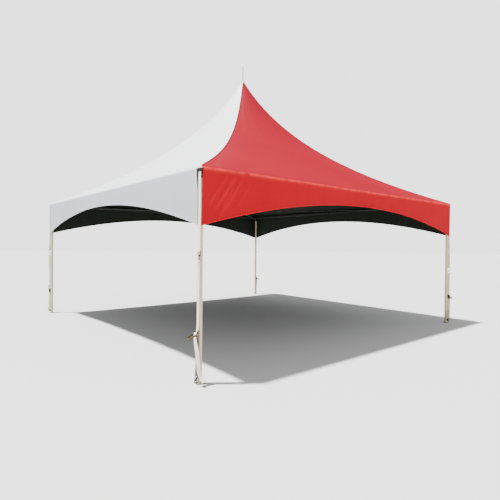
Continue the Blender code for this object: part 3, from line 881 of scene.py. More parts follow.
def makeCornerWrap(name, turns):
    # Swapped about its diagonal at every second corner, so that it always starts on the red side
    atFront = turns == 0
    plan, rows, outer = wrapPlan(not atFront), cornerWrap["rows"], cornerWrap["proud"]
    layers = [point + (outer,) for point in plan]
    layers += [point + (outer - cornerWrap["thickness"],) for point in plan[::-1]]
    rings, cuts = [], []
    for i in range(rows):
        ring = []
        for (x, y), away, lift in layers:
            along = legOffset - max(x, y) - (valance["gapLow"] if atFront else 0)
            low = archHeight(along) - 0.0025
            height = valance["top"] + (low - valance["top"]) * i / (rows - 1)
            shift = frontGap(height) if atFront else 0
            ring.append((x + shift + away[0] * lift, y + away[1] * lift, height))
            cuts.append((height, x - y + 0.0265))
        rings.append(ring)
    swap = Matrix(((0, 1, 0, 0), (1, 0, 0, 0), (0, 0, 1, 0), (0, 0, 0, 1))) if turns % 2 else Matrix()
    piece = shell("corner_wrap_" + name, rings, cuts, [cloth["red_hem"]], cornerMatrix(turns) @ swap)
    return assign(piece, "tent", "red_fabric")


slitHem = {
    "rows": 30,
    # Distance in from the valance's outer face, and along it from the cut
    "section": ((-0.0012, -0.0006), (-0.0012, 0.011), (0.0020, 0.011), (0.0020, -0.0006)),
}


def makeSlitHem(side, seed):
    # The folded edge of the cut beside the front strap
    rows, rings, cuts = slitHem["rows"], [], []
    low = archHeight(-halfSide + valance["slitLow"])
    for i in range(rows):
        height = valance["top"] + (low - valance["top"]) * i / (rows - 1)
        y = -halfSide + slitEdge(height)
        face = valanceFace(side, y, height, seed)
        rings.append([(face + inward, y + along, height) for inward, along in slitHem["section"]])
        cuts += [(height, along + 0.0015) for _, along in slitHem["section"]]
    piece = shell("slit_hem", rings, cuts, [cloth["white_hem"]], angle=None)
    return assign(piece, "tent", "white_fabric")


def makeCanopy():
    for index, (name, side) in enumerate(sides.items()):
        roofSeed, valanceSeed = 10.0 * index + 3, 10.0 * index + 5
        panel = makeRoofPanel(name, side, roofSeed)
        border = makeValance(name, side, valanceSeed)
        if side["colour"] == "red":
            for hand, word in ((1, "first"), (-1, "second")):
                makeHipSeam("hip_seam_" + word + "_" + name, side, roofSeed, hand)
        trims = [makeHem(name, side, valanceSeed)]
        if side["turns"] == whiteFront:
            trims.append(makeSlitHem(side, valanceSeed))
    for turns, name in enumerate(("front", "right", "back", "left")):
        makeCornerWrap(name, turns)


makeCanopy()
print("canopy done")


# Frame: rails, fittings, legs and feet


tubes = {
    "railRadius": 0.0381, "railInset": 0.0903, "legRadius": 0.0254, "legTop": 2.3077,
    "mastRadius": 0.0254, "mastTop": 4.955,
}

# Each corner: quarter turns from the front, hand (-1 is the mirror image), height of its ring and
# place of the ring along the face, the same for its ratchet, place of the lower hook along the face,
# how far its strap's tail swings sideways, the handle's angle from upright, and the webbing of the
# canopy's strap, the upper and the lower part of the ratchet strap
# Cream and grey webbing are the white one darkened: painted shade
corners = {
    "front": {"turns": 0, "hand": 1, "ring": 1.435, "ringSide": -0.022, "ratchet": 0.565,
              "ratchetSide": -0.012, "hookSide": 0.012, "tailSwing": 0.14, "angle": 110.0,
              "webbing": ("white", "cream", "grey_shaded")},
    "right": {"turns": 2, "hand": -1, "ring": 1.063, "ringSide": -0.034, "ratchet": 0.53,
              "ratchetSide": -0.028, "hookSide": -0.022, "tailSwing": 0.03, "angle": 110.0,
              "webbing": ("cream", "cream", "cream")},
    "back": {"turns": 2, "hand": 1, "ring": 1.30, "ringSide": -0.022, "ratchet": 0.50,
             "ratchetSide": -0.022, "hookSide": -0.010, "tailSwing": 0.05, "angle": 110.0,
             "webbing": ("cream", "cream", "grey_shaded")},
    "left": {"turns": 3, "hand": 1, "ring": 1.337, "ringSide": -0.034, "ratchet": 0.50,
             "ratchetSide": -0.022, "hookSide": -0.022, "tailSwing": 0.04, "angle": 8.0,
             "webbing": ("cream", "cream", "cream")},
}


def seat(piece, corner, slot, *nodes, body="tent"):
    # Moves a piece from its corner's own frame to its place
    piece.data.transform(cornerMatrix(corner["turns"], corner["hand"]))
    if corner["hand"] < 0:
        piece.data.flip_normals()
    return assign(piece, body, slot, *nodes)


def roundBar(name, start, end, radius, material, sides=40, edge=0.0012):
    # A straight round bar with rounded rims
    length = math.dist(start, end)
    rim = [(radius - edge, 0), (radius - edge * 0.3, edge * 0.3), (radius, edge)]
    rows = rim + [(r, length - z) for r, z in rim[::-1]]
    return laid(turnedPiece(name, rows, material, sides), start, Vector(end) - Vector(start))


def boltHead(name, place, direction, size, material):
    # A hexagon head with a domed top and a washer. The rows are shares of the size
    head = ([(1, 0.3), (1, 0.95), (0.9, 1.08), (0.5, 1.12)], 6, 20)
    washer = ([(1.25, 0), (1.3, 0.1), (1.3, 0.25), (1.2, 0.3)], 24, 40)
    parts = [turnedPiece(name, [(size * r, size * z) for r, z in rows], material, count, degrees)
             for rows, count, degrees in (head, washer)]
    return laid(joined(name, parts), place, direction)


def makeRails():
    reach, radius = legOffset - tubes["railInset"], tubes["railRadius"]
    rail = roundBar("rail", (-legOffset, -reach, railHeight), (-legOffset, reach, railHeight), radius,
                    railShadePaint)
    face = -legOffset + radius - 0.0004
    pins = [boltHead("rail_pin", (face, y, railHeight), (1, 0, 0), 0.006, darkSteelAndShade)
            for y in (-reach + 0.05, reach - 0.05)]
    rail = joined("rail", [rail] + pins)
    for name, side in sides.items():
        piece = copied(rail, "rail_tube_" + name, quarterTurn(side["turns"]))
        assign(piece, "tent", "painted_tube", "eave_rail_" + name)
    bpy.data.objects.remove(rail, do_unlink=True)


def makeLegs():
    radius, top = tubes["legRadius"], tubes["legTop"]
    parts = [roundBar("leg", (0, 0, 0.0064), (0, 0, top), radius, tubePaint)]
    for height, hand in itertools.product((0.058, top - 0.05), (1, -1)):
        place = (0, hand * (radius - 0.0006), height)
        parts.append(boltHead("leg_bolt", place, (0, hand, 0), 0.0055, zinc))
    leg = joined("leg", parts)
    for name, corner in corners.items():
        seat(copied(leg, "leg_tube_" + name, Matrix()), corner, "painted_tube", "leg_" + name)
    bpy.data.objects.remove(leg, do_unlink=True)


foot = {
    "half": 0.055, "thickness": 0.006, "corner": 0.010, "holeRadius": 0.008, "holePlace": 0.040,
    "stapleHalf": 0.0235, "stapleTop": 0.0405, "stapleBar": 0.0045, "stapleOut": 0.0457,
    "stapleBend": 0.008,
    # Radius, and height over the plate, of the weld round the leg's spigot
    "weld": ((0.0335, -0.001), (0.0325, 0.0016), (0.0300, 0.0036), (0.0262, 0.0048)),
}


def makeFoot(name, corner):
    # A square foot plate with holes for stakes, a welded spigot and the staple for the hook
    half, thickness, out = foot["half"], foot["thickness"], -foot["stapleOut"]
    cut = half - foot["corner"] * 0.6
    quarters = list(itertools.product((1, -1), (1, -1)))
    trims = [((a * cut, b * cut, 0), (a, b, 0)) for a, b in quarters]
    plate = block("foot_plate_" + name, (-half, -half, 0), (half, half, thickness), zinc, trims, 0.0012)
    hole = [(foot["holeRadius"], -0.01), (foot["holeRadius"], 0.02)]
    spread = foot["holePlace"]
    bored(plate, [moved(turnedPiece("hole", hole, zinc, 24), (a * spread, b * spread, 0))
                  for a, b in quarters])
    bar, top, wide, bend = (foot["staple" + key] for key in ("Bar", "Top", "Half", "Bend"))
    path = [(-wide, 0.003), (-wide, top - 0.009)] + arc((-wide + bend, top - bend), bend, 180, 90, 6)
    path += [(-x, z) for x, z in path[::-1]]
    side = corner["hookSide"]
    staple = moved(sweptBar("staple", path, bar, darkSteelAndShade, 16), (out, side, 0), 1)
    bead = [(bar * 1.9, 0), (bar * 1.6, 0.0018), (bar * 1.15, 0.0036), (bar, 0.0046)]
    beads = [moved(turnedPiece("bead", bead, zinc, 20, 60), (out, side + hand * wide, thickness))
             for hand in (1, -1)]
    weld = turnedPiece("weld", [(r, thickness + z) for r, z in foot["weld"]], zinc, 40, 60)
    piece = joined("foot_plate_" + name, [plate, staple, weld] + beads)
    return seat(piece, corner, "zinc_steel", "base_plate_" + name)


fitting = {
    "bandDrop": 0.0402, "bandHeight": 0.030, "bandOuter": 0.0372, "bandInner": 0.0195,
    "bandEnd": 0.0046, "bandEdge": 0.0030, "boltReach": 0.07, "neckSide": 0.021213,
    "neckDrop": 0.098,
}


def makeFittings():
    # The imported fittings stay, with bolts and a band on the bar that holds the strap; fittings and
    # band are near-black as painted shade
    low, face = railHeight - fitting["bandDrop"], tubes["railRadius"] - 0.0012
    outer, reach, neck = fitting["bandOuter"], fitting["boltReach"], fitting["neckSide"]
    bolts = [((reach, face, railHeight), (0, 1, 0), 0.006),
             ((face, reach, railHeight), (1, 0, 0), 0.006),
             ((neck, neck, railHeight - fitting["neckDrop"]), (1, 1, 0), 0.0045)]
    for name, corner in corners.items():
        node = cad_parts["corner_fitting_" + name]
        node.data.materials.clear()
        node.data.materials.append(darkSteelAndShade)
        end = (-fitting["bandInner"], fitting["bandEnd"], low + fitting["bandHeight"])
        band = block("strap_bar_" + name, (-outer, -outer, low), end, strapBarShadeSteel,
                     edge=fitting["bandEdge"])
        seat(band, corner, "zinc_steel")
        heads = [boltHead("fitting_bolt", place, way, size, darkSteelAndShade) for place, way, size in bolts]
        seat(joined("fitting_bolts_" + name, heads), corner, "zinc_steel")


# Mast, its foot and the cables that carry it


mastParts = {
    "footHeight": 2.262, "discRadius": 0.055, "discThickness": 0.012, "collarHeight": 0.056,
    "cableRadius": 0.004, "cableEndDrop": 0.068, "cableEndReach": 0.075, "sleeveRadius": 0.009,
    "sleeveLength": 0.09, "gap": 0.0003, "collarWall": 0.0052, "seatRadius": 0.034,
    "coneRadius": 0.022, "coneDrop": 0.035, "finialRadius": 0.008, "finialTop": 5.36,
}


def ropePiece(name, points, radius, sides=12):
    # Wire rope along points, with cloth coordinates of turns and metres
    rings, cuts, length = [], [], 0.0
    angles = [2 * math.pi * k / sides for k in range(sides)]
    for i, point in enumerate(points):
        before, after = points[max(i - 1, 0)], points[min(i + 1, len(points) - 1)]
        along = (Vector(after) - Vector(before)).normalized()
        side = along.cross(Vector((0, 0, 1))).normalized()
        up = side.cross(along)
        length += math.dist(point, before)
        rings.append([Vector(point) + radius * (math.cos(a) * side + math.sin(a) * up) for a in angles])
        cuts += [(k / sides, length) for k in range(sides)]
    piece = shell(name, rings, cuts, [rope], angle=60)
    # The last face of each ring closes the turn, so its coordinates run on to 1
    layer = piece.data.uv_layers["cloth"].data
    for face in piece.data.polygons:
        spots = [layer[i] for i in face.loop_indices]
        turns = [spot.uv[0] for spot in spots]
        if len(spots) == 4 and max(turns) - min(turns) > 0.5:
            for spot in spots:
                spot.uv[0] += spot.uv[0] < 0.5
    return piece


def makeCable(node, name, height, degrees):
    # One cable from a corner lug under the mast to the opposite one, with its ends
    parts = mastParts
    reach = legOffset * math.sqrt(2) - parts["cableEndReach"] - parts["gap"]
    end = railHeight - parts["cableEndDrop"]
    flat = parts["discRadius"] - 0.005
    slope = (end - height) / (reach - flat)
    radius, length = parts["sleeveRadius"], parts["sleeveLength"]

    def at(x):
        return (x, 0, height + slope * max(abs(x) - flat, 0))
    xs = [length - reach, -flat - 2.0, -flat - 0.4, -flat - 0.03, -flat, -flat + 0.02, 0]
    pieces = [ropePiece(name, [at(x) for x in xs + [-x for x in xs[-2::-1]]], parts["cableRadius"])]
    rows = [(0.0045, -0.012), (0.0062, -0.008), (0.0064, 0.0), (0.0064, 0.026), (radius, 0.029),
            (radius, 0.040), (0.0074, 0.042), (0.0074, 0.060), (radius, 0.062),
            (radius, length - 0.003), (radius - 0.0015, length)]
    for hand in (1, -1):
        start = Vector(at(hand * (reach - length)))
        way = (Vector(at(hand * reach)) - start).normalized()
        pieces.append(laid(turnedPiece("sleeve", rows, zinc, 20, 35), start, way))
    piece = joined(name, pieces)
    piece.data.transform(Matrix.Rotation(math.radians(degrees), 4, "Z"))
    return assign(piece, "tent", "zinc_steel", node)


def makeMast():
    parts, radius = mastParts, tubes["mastRadius"]
    low, disc, collar = parts["footHeight"], parts["discRadius"], radius + parts["collarWall"]
    upper = low - parts["gap"] - parts["cableRadius"]
    makeCable("cross_cable_front_back", "wire_rope_front_back", upper, 45)
    makeCable("cross_cable_left_right", "wire_rope_left_right",
              upper - 2 * parts["cableRadius"] - parts["gap"], -45)
    floor = low + parts["discThickness"]
    top = floor + parts["collarHeight"]
    base = turnedPiece("mast_base", [
        (disc - 0.002, low), (disc, low + 0.002), (disc, floor - 0.002), (disc - 0.002, floor),
        (collar + 0.006, floor), (collar + 0.002, floor + 0.004), (collar, floor + 0.006),
        (collar, top - 0.001), (collar - 0.001, top), (radius - 0.002, top),
    ], zinc, 40)
    bolts = [boltHead("mast_bolt", (hand * (collar - 0.0006), 0, floor + 0.032), (hand, 0, 0), 0.006,
                      darkSteelAndShade) for hand in (1, -1)]
    assign(joined("mast_base", [base] + bolts), "tent", "zinc_steel", "mast_foot")
    ends = (0, 0, floor + parts["gap"]), (0, 0, tubes["mastTop"])
    assign(roundBar("mast_tube", *ends, radius, railShadePaint), "tent", "painted_tube", "mast")


def makeCrown():
    # The plate under the cloth, the cone that closes the peak, and the finial pin
    parts, ring, peak, mastTop = mastParts, roof["crownRadius"], roof["peakHeight"], tubes["mastTop"]
    pin, tip, seatRadius = parts["finialRadius"], parts["finialTop"], parts["seatRadius"]
    rim = roofHeight(ring / math.sqrt(2), ring / math.sqrt(2)) + parts["gap"]
    under = mastTop + parts["gap"]
    crown = turnedPiece("crown", [
        (0.0150, mastTop - 0.1), (0.0190, mastTop - 0.096), (0.0200, under),
        (seatRadius - 0.001, under), (seatRadius, under + 0.001), (seatRadius, rim),
        (ring - 0.0005, rim), (ring, rim + 0.0008),
        (ring, rim + 0.0032), (ring - 0.001, rim + 0.004), (0.0330, rim + 0.0125),
        (0.0268, rim + 0.0225), (parts["coneRadius"], peak - parts["coneDrop"]),
        (0.0170, peak - 0.022), (0.0125, peak - 0.010), (0.0098, peak - 0.003), (pin + 0.0008, peak),
        (pin, peak + 0.004),
    ], zinc, 48)
    finial = turnedPiece("finial", [
        (pin, peak + 0.002), (pin, peak + 0.040), (pin + 0.0035, peak + 0.042),
        (pin + 0.0035, peak + 0.050), (pin, peak + 0.052), (pin, tip - 0.012),
        (pin - 0.0007, tip - 0.006), (pin - 0.0028, tip - 0.002), (0.0020, tip),
    ], zinc, 32)
    assign(joined("crown_cap", [crown, finial]), "tent", "zinc_steel", "crown_and_finial")


makeRails()
makeLegs()
for name, corner in corners.items():
    makeFoot(name, corner)
makeFittings()
makeMast()
makeCrown()
print("frame and mast done")


# Straps, rings, hooks and ratchets. Places are in each corner's own frame, outward is -x


strap = {
    "width": 0.047, "thickness": 0.0022, "side": -0.022, "canopyOut": 0.0325, "lowerOut": 0.0375,
    "top": 2.3725, "tucked": 0.006, "ringHeight": 0.060, "ringRadius": 0.0038, "wireRadius": 0.0030,
    "ratchetWidth": 0.046, "foldRadius": 0.0052,
    # Place along x, and height over the ring's top, of the canopy's strap before and after its fold
    "beforeFold": ((-0.0338, 0.06), (-0.0338, 0.020), (-0.0352, 0.010), (-0.0371, 0.001)),
    "afterFold": ((-0.0287, 0.008), (-0.0313, 0.018), (-0.0313, 0.093)),
    # Cross section: shares of the half width and of the thickness
    "section": [(-1.0, 0.3), (-0.97, 0.75), (-0.86, 1.0), (-0.45, 1.0), (0.0, 1.0), (0.45, 1.0),
                (0.86, 1.0), (0.97, 0.75), (1.0, 0.3)],
}


def webbingPiece(name, points, width, colour, sewn=(), thickness=strap["thickness"]):
    # A flat strap along (x, y, z) points, some with a turn, in degrees, that swings the strap's width
    # from y towards -x. sewn lists the (start, end) lengths with zigzag stitches
    section = strap["section"] + [(share, -full) for share, full in strap["section"][::-1]]
    rings, cuts, stitched, length = [], [], [], 0.0
    for k, (x, y, z, *turn) in enumerate(points):
        before, after = points[max(k - 1, 0)], points[min(k + 1, len(points) - 1)]
        along = (Vector(after[:3]) - Vector(before[:3])).normalized()
        angle = math.radians(sum(turn))
        wide = Vector((-math.sin(angle), math.cos(angle), 0))
        wide = (wide - wide.dot(along) * along).normalized()
        thick = along.cross(wide).normalized()
        length += math.dist((x, y, z), before[:3])
        rings.append([Vector((x, y, z)) + wide * (share * width / 2) + thick * (full * thickness / 2)
                      for share, full in section])
        cuts += [(share * width / 2, length) for share, _ in section]
        stitched += [float(any(a <= length <= b for a, b in sewn))] * len(section)
    return shell(name, rings, cuts, [webbing[colour]], angle=60, sewn=stitched)


def denser(path, step):
    # The same path with points no further apart than the step
    points = [path[0]]
    for a, b in zip(path, path[1:]):
        count = max(1, math.ceil(math.dist(a, b) / step))
        points += [tuple(p + (q - p) * (i + 1) / count for p, q in zip(a, b)) for i in range(count)]
    return points


def drifting(line, low, high, lowSide, highSide):
    # Adds to (x, z) points their place along the face, which changes from one height to another
    return [(x, between(lowSide, highSide, (z - low) / (high - low)), z) for x, z in line]


def makeCanopyStrap(name, corner):
    # Webbing from the canopy's corner, folded round the ring's top bar and sewn to itself
    side, top = corner["ringSide"], corner["ring"] + strap["ringHeight"]
    tucked = strap["side"] + (strap["tucked"] if name != "front" else 0.0)
    line = [(x, top + above) for x, above in strap["beforeFold"]]
    line += arc((-strap["canopyOut"], top - 0.003), strap["foldRadius"], 180, 360, 8)
    line += [(x, top + above) for x, above in strap["afterFold"]]
    route = [(line[0][0], tucked, z) for z in (strap["top"], 1.80)] + [(x, side, z) for x, z in line]
    total = strap["top"] - top
    piece = webbingPiece("canopy_strap_" + name, denser(route, 0.03), strap["width"],
                         corner["webbing"][0], [(total - 0.088, total - 0.020)])
    return seat(piece, corner, "webbing", "corner_strap_" + name)


ringShape = {"half": 0.028, "inset": 0.003, "upperBend": 0.006, "lowerBend": 0.016}


def makeRing(name, corner):
    # A steel ring, straight at the webbing and rounded below
    low = corner["ring"] + ringShape["inset"]
    high = corner["ring"] + strap["ringHeight"] - ringShape["inset"]
    upper, lower = ringShape["upperBend"], ringShape["lowerBend"]
    bends = [(upper, high - upper, 5)] * 2 + [(lower, low + lower, 8)] * 2
    path = []
    for quarter, (hand, (radius, level, steps)) in enumerate(zip((1, -1, -1, 1), bends)):
        middle = (hand * (ringShape["half"] - radius), level)
        path += arc(middle, radius, quarter * 90, quarter * 90 + 90, steps)
    piece = sweptBar("ring_" + name, path, strap["ringRadius"], darkSteelAndShade, 12, closed=True)
    moved(piece, (-strap["canopyOut"], corner["ringSide"], 0), 1)
    return seat(piece, corner, "zinc_steel", "corner_strap_" + name)


upperHook = {"spacing": 0.0035, "armDrop": 0.011, "loopDrop": 0.052, "loopHalf": 0.0265, "bend": 0.006}


def makeUpperHook(name, corner):
    # A double wire hook over the ring's lower bar, with its arms spread to a loop for the strap
    ring, wire = corner["ring"], strap["wireRadius"]
    x, radius = -strap["canopyOut"], strap["ringRadius"] + wire + 0.0001
    path = [(x - radius, ring - 0.012)] + arc((x, ring + 0.0030), radius, 180, 0, 10)
    path += [(x + radius, ring - 0.006), (x + radius + 0.0008, ring - 0.0085)]
    wide, narrow, turn = upperHook["loopHalf"], upperHook["spacing"], upperHook["bend"]
    parts = [moved(sweptBar("hook_wire", path, wire, darkSteelAndShade), (0, hand * narrow, 0))
             for hand in (1, -1)]
    top, bottom = ring - upperHook["armDrop"], ring - upperHook["loopDrop"]
    path = [(narrow, top), (wide - 0.001, bottom + turn + 0.002)]
    path += arc((wide - turn, bottom + turn), turn, 0, -90, 5)
    path += arc((-wide + turn, bottom + turn), turn, 270, 180, 5)
    path += [(-wide + 0.001, bottom + turn + 0.002), (-narrow, top)]
    parts.append(moved(sweptBar("loop", path, wire, darkSteelAndShade), (x - radius, 0, 0), 1))
    piece = moved(joined("upper_hook_" + name, parts), (0, corner["ringSide"], 0))
    return seat(piece, corner, "zinc_steel", "ratchet_strap_" + name)


lowerHook = {
    "low": 0.058, "top": 0.094, "bend": 0.0076, "thickness": 0.0044, "hookWidth": 0.034,
    "plateHalf": 0.029, "slotHalf": 0.0238, "slotLow": 0.016, "slotHigh": 0.0075, "edge": 0.0009,
}


def makeLowerHook(name, corner):
    # A wide flat hook, with a slot for the webbing, in the foot's staple
    under, low, high = foot["stapleTop"], lowerHook["low"], lowerHook["top"]
    x, radius, edge = -foot["stapleOut"], lowerHook["bend"], lowerHook["edge"]
    path = [(x + radius, low)] + arc((x, under), radius, 0, -180, 12)
    path += [(x - radius, under + 0.010), (x - radius - 0.0016, under + 0.015)]
    hook = sweptBar("hook", path, (lowerHook["thickness"], lowerHook["hookWidth"]), darkSteelAndShade)
    applyModifier(hook, "BEVEL", width=edge, segments=2)
    face, thin, half = x + radius, lowerHook["thickness"] / 2, lowerHook["plateHalf"]
    lean = Vector((0, 0.020, 0.010)).normalized()
    trims = [((face, hand * 0.018, low), (0, hand * lean.y, -lean.z)) for hand in (1, -1)]
    trims += [((face, hand * 0.0265, high - 0.006), (0, hand, 0.8)) for hand in (1, -1)]
    plate = block("plate", (face - thin, -half, low - 0.004), (face + thin, half, high), darkSteelAndShade,
                  trims, edge)
    wide = lowerHook["slotHalf"]
    slot = block("slot", (face - 0.01, -wide, high - lowerHook["slotLow"]),
                 (face + 0.01, wide, high - lowerHook["slotHigh"]), darkSteelAndShade, edge=0.002)
    piece = joined("lower_hook_" + name, [bored(plate, [slot]), hook])
    return seat(moved(piece, (0, corner["hookSide"], 0)), corner, "zinc_steel", "ratchet_strap_" + name)


# Places in the ratchet are from its axle, outward is -x
ratchetParts = {
    "axisOut": 0.060, "half": 0.045, "inner": 0.024, "plate": 0.003, "nose": 0.012, "flat": 0.014,
    "back": 0.0177, "bolt": (0.0097, -0.033), "boltRadius": 0.004, "rollRadius": 0.0150,
    "rollTurns": 1.6, "rollPitch": 0.0048, "teeth": 14, "wheelRadius": 0.0176, "wheelRoot": 0.80,
    "wheelThickness": 0.0009,
    # Radius and place along the axle of its rims
    "axleRim": [(0.0048, -0.0335), (0.0060, -0.0328), (0.0060, -0.0318), (0.0085, -0.0317),
                (0.0085, -0.0312), (0.0060, -0.0311)],
}


def wound(height, start, steps):
    # Points of the webbing on the spool, from an angle inwards
    parts, points = ratchetParts, []
    for i in range(steps + 1):
        turn = parts["rollTurns"] * i / steps
        radius = parts["rollRadius"] - parts["rollPitch"] * turn
        angle = start - 2 * math.pi * turn
        points.append((-parts["axisOut"] + radius * math.cos(angle), height + radius * math.sin(angle)))
    return points


def makeUpperStrap(name, corner):
    # From the upper hook down to the ratchet, and wound on its spool
    ring, height = corner["ring"], corner["ratchet"]
    x = -strap["canopyOut"] - strap["ringRadius"] - strap["wireRadius"]
    loop, fold = ring - upperHook["loopDrop"], 0.0042
    line = [(x + fold, ring - 0.135), (x + fold, ring - 0.058)] + arc((x, loop), fold, 0, 180, 6)
    line += [(x - 0.0036, ring - 0.060), (x + 0.0010, ring - 0.072), (x + 0.0010, ring - 0.14),
             (-strap["lowerOut"], ring - 0.18), (-0.0380, height + 0.080), (-0.0415, height + 0.060),
             (-0.0440, height + 0.048), (-0.0449, height + 0.020)]
    route = drifting(line + wound(height, 0, 44), height + 0.05, ring - 0.05, corner["ratchetSide"],
                     corner["ringSide"])
    piece = webbingPiece("upper_webbing_" + name, route, strap["ratchetWidth"], corner["webbing"][1],
                         [(0.002, 0.07), (0.10, 0.165)])
    return seat(piece, corner, "webbing", "ratchet_strap_" + name)


def makeLowerStrap(name, corner):
    # From the lower hook up to the ratchet's bolt, folded round it and sewn
    parts, height = ratchetParts, corner["ratchet"]
    bolt = (parts["bolt"][0] - parts["axisOut"], height + parts["bolt"][1])
    hook = (-0.0381, 0.0905)
    line = [(hook[0] - 0.0020, 0.170), (hook[0] - 0.0036, 0.104)] + arc(hook, 0.0046, 180, 360, 8)
    line += [(hook[0] + 0.0030, 0.104), (hook[0] + 0.0008, 0.17), (-strap["lowerOut"], height - 0.10),
             (-0.0420, height - 0.062), (bolt[0] + 0.0056, height - 0.042)]
    line += arc(bolt, 0.0054, 0, 180, 8)
    line += [(bolt[0] - 0.0050, height - 0.044), (-0.0450, height - 0.064), (-0.0402, height - 0.100),
             (-0.0399, height - 0.150)]
    route = drifting(line, 0.12, height - 0.06, corner["hookSide"], corner["ratchetSide"])
    piece = webbingPiece("lower_webbing_" + name, denser(route, 0.02), strap["ratchetWidth"],
                         corner["webbing"][2], [(0.004, 0.066), (height - 0.03, height + 0.13)])
    return seat(piece, corner, "webbing", "ratchet_strap_" + name)


def makeToothedWheel(y):
    # A thin wheel with slanted teeth, outside a cheek
    parts = ratchetParts
    root = parts["wheelRoot"]
    bpy.ops.object.select_all(action="DESELECT")
    bpy.ops.mesh.primitive_circle_add(vertices=parts["teeth"] * 3, radius=parts["wheelRadius"],
                                      fill_type="NGON", location=(0, 0, 0), enter_editmode=True)
    bpy.ops.mesh.select_all(action="DESELECT")
    bpy.ops.object.mode_set(mode="OBJECT")
    for vertex in bpy.context.object.data.vertices:
        vertex.select = vertex.index % 3 == 0
    bpy.ops.object.mode_set(mode="EDIT")
    bpy.ops.transform.resize(value=(root, root, 1), center_override=(0, 0, 0))
    bpy.ops.mesh.select_all(action="SELECT")
    bpy.ops.mesh.extrude_region_move(
        TRANSFORM_OT_translate={"value": (0, 0, parts["wheelThickness"])})
    return laid(ready("toothed_wheel", darkSteelAndShade, 20), (0, y, 0), (0, math.copysign(1, y), 0))


def makeRatchetBody():
    # The fixed parts about the axle: back plate, cheeks, toothed wheels, axle, bolt and lock plate
    parts = ratchetParts
    inner, outer, half = parts["inner"], parts["inner"] + parts["plate"], parts["half"]
    back, nose, flat = parts["back"], parts["nose"], parts["flat"]
    made = [block("back_plate", (back, -outer, -half), (back + parts["plate"], outer, half),
                  yellowSteel, edge=0.0008)]
    fall = Vector((nose * 1.5, 0, half - flat)).normalized()
    trims = [((-nose, 0, hand * flat), (-fall.z, 0, hand * fall.x)) for hand in (1, -1)]
    for low, high in ((inner, outer), (-outer, -inner)):
        made.append(block("cheek", (-nose, low, -half), (back + 0.001, high, half), yellowSteel,
                          trims, 0.0007))
    made += [makeToothedWheel(hand * (outer + 0.0002)) for hand in (1, -1)]
    rim = parts["axleRim"]
    axle = turnedPiece("axle", rim + [(r, -y) for r, y in rim[::-1]], zinc, 24)
    made.append(laid(axle, (0, 0, 0), (0, 1, 0)))
    x, z = parts["bolt"]
    made.append(roundBar("bolt", (x, -outer, z), (x, outer, z), parts["boltRadius"], zinc, 20, 0.0004))
    made += [boltHead("bolt_head", (x, hand * (outer - 0.0004), z), (0, hand, 0), 0.0042, zinc)
             for hand in (1, -1)]
    wide = inner - 0.0006
    made.append(block("lock_plate", (-0.0035, -wide, -0.038), (-0.0013, wide, -0.0185), yellowSteel,
                      edge=0.0006))
    return joined("ratchet_body", made)


handle = {
    "length": 0.105, "inner": 0.0285, "plate": 0.0025, "wide": 0.012, "narrow": 0.010, "end": 0.111,
    "webStart": 0.066, "gripRadius": 0.009, "grooves": 5, "groovePitch": 0.0104, "holeRadius": 0.0068,
    "dimpleRadius": 0.0045, "dimplePlace": 0.043,
}


def makeHandle():
    # The handle about its axle, pointing up: two pressed arms, a web plate and a rolled grip
    inner, outer = handle["inner"], handle["inner"] + handle["plate"]
    wide, narrow, end = handle["wide"], handle["narrow"], handle["end"]
    start, length = handle["webStart"], handle["length"]
    taper = Vector((end + wide, 0, wide - narrow)).normalized()
    trims = [((hand * wide, 0, -wide), (hand * taper.x, 0, taper.z)) for hand in (1, -1)]
    for hand in (1, -1):
        trims += [((hand * wide * 0.56, 0, -wide), (hand, 0, -1.15)),
                  ((hand * wide, 0, -wide * 0.42), (hand * 1.6, 0, -0.62)),
                  ((hand * narrow * 0.5, 0, end), (hand, 0, 1.0))]
    parts = []
    for hand in (1, -1):
        low, high = sorted((hand * inner, hand * outer))
        arm = block("arm", (-wide, low, -wide), (wide, high, end), yellowSteel, trims, 0.0006)
        hole = roundBar("hole", (0, -0.05, 0), (0, 0.05, 0), handle["holeRadius"], yellowSteel, 24)
        ends = [(0, hand * (outer + depth), handle["dimplePlace"]) for depth in (-0.0007, 0.01)]
        dimple = roundBar("dimple", *ends, handle["dimpleRadius"], yellowSteel, 24)
        parts.append(bored(arm, [hole, dimple]))
    web = block("web", (-0.0105, -inner - 0.0005, start), (-0.008, inner + 0.0005, length), yellowSteel,
                edge=0.0007)
    slot = block("slot", (-0.02, -0.014, start + 0.010), (0.0, 0.014, length - 0.015), yellowSteel,
                 edge=0.004)
    rolled = sweptBar("rolled_edge", [(-0.028, 0), (0.028, 0)], 0.0018, yellowSteel)
    parts += [bored(web, [slot]), moved(rolled, (-0.0092, 0, start), 1)]
    radius, reach = handle["gripRadius"], outer + 0.0006
    rim = [(radius - 0.004, -reach), (radius - 0.001, -reach + 0.0008), (radius - 0.001, -inner)]
    rows = rim[:]
    for step in range(handle["grooves"]):
        y = (step - (handle["grooves"] - 1) / 2) * handle["groovePitch"]
        rows += [(radius - 0.0012, y - 0.0048), (radius, y - 0.0036), (radius, y + 0.0036),
                 (radius - 0.0012, y + 0.0048)]
    rows += [(r, -y) for r, y in rim[::-1]]
    parts.append(laid(turnedPiece("grip", rows, yellowSteel, 28), (0, 0, length), (0, 1, 0)))
    return joined("ratchet_handle", parts)


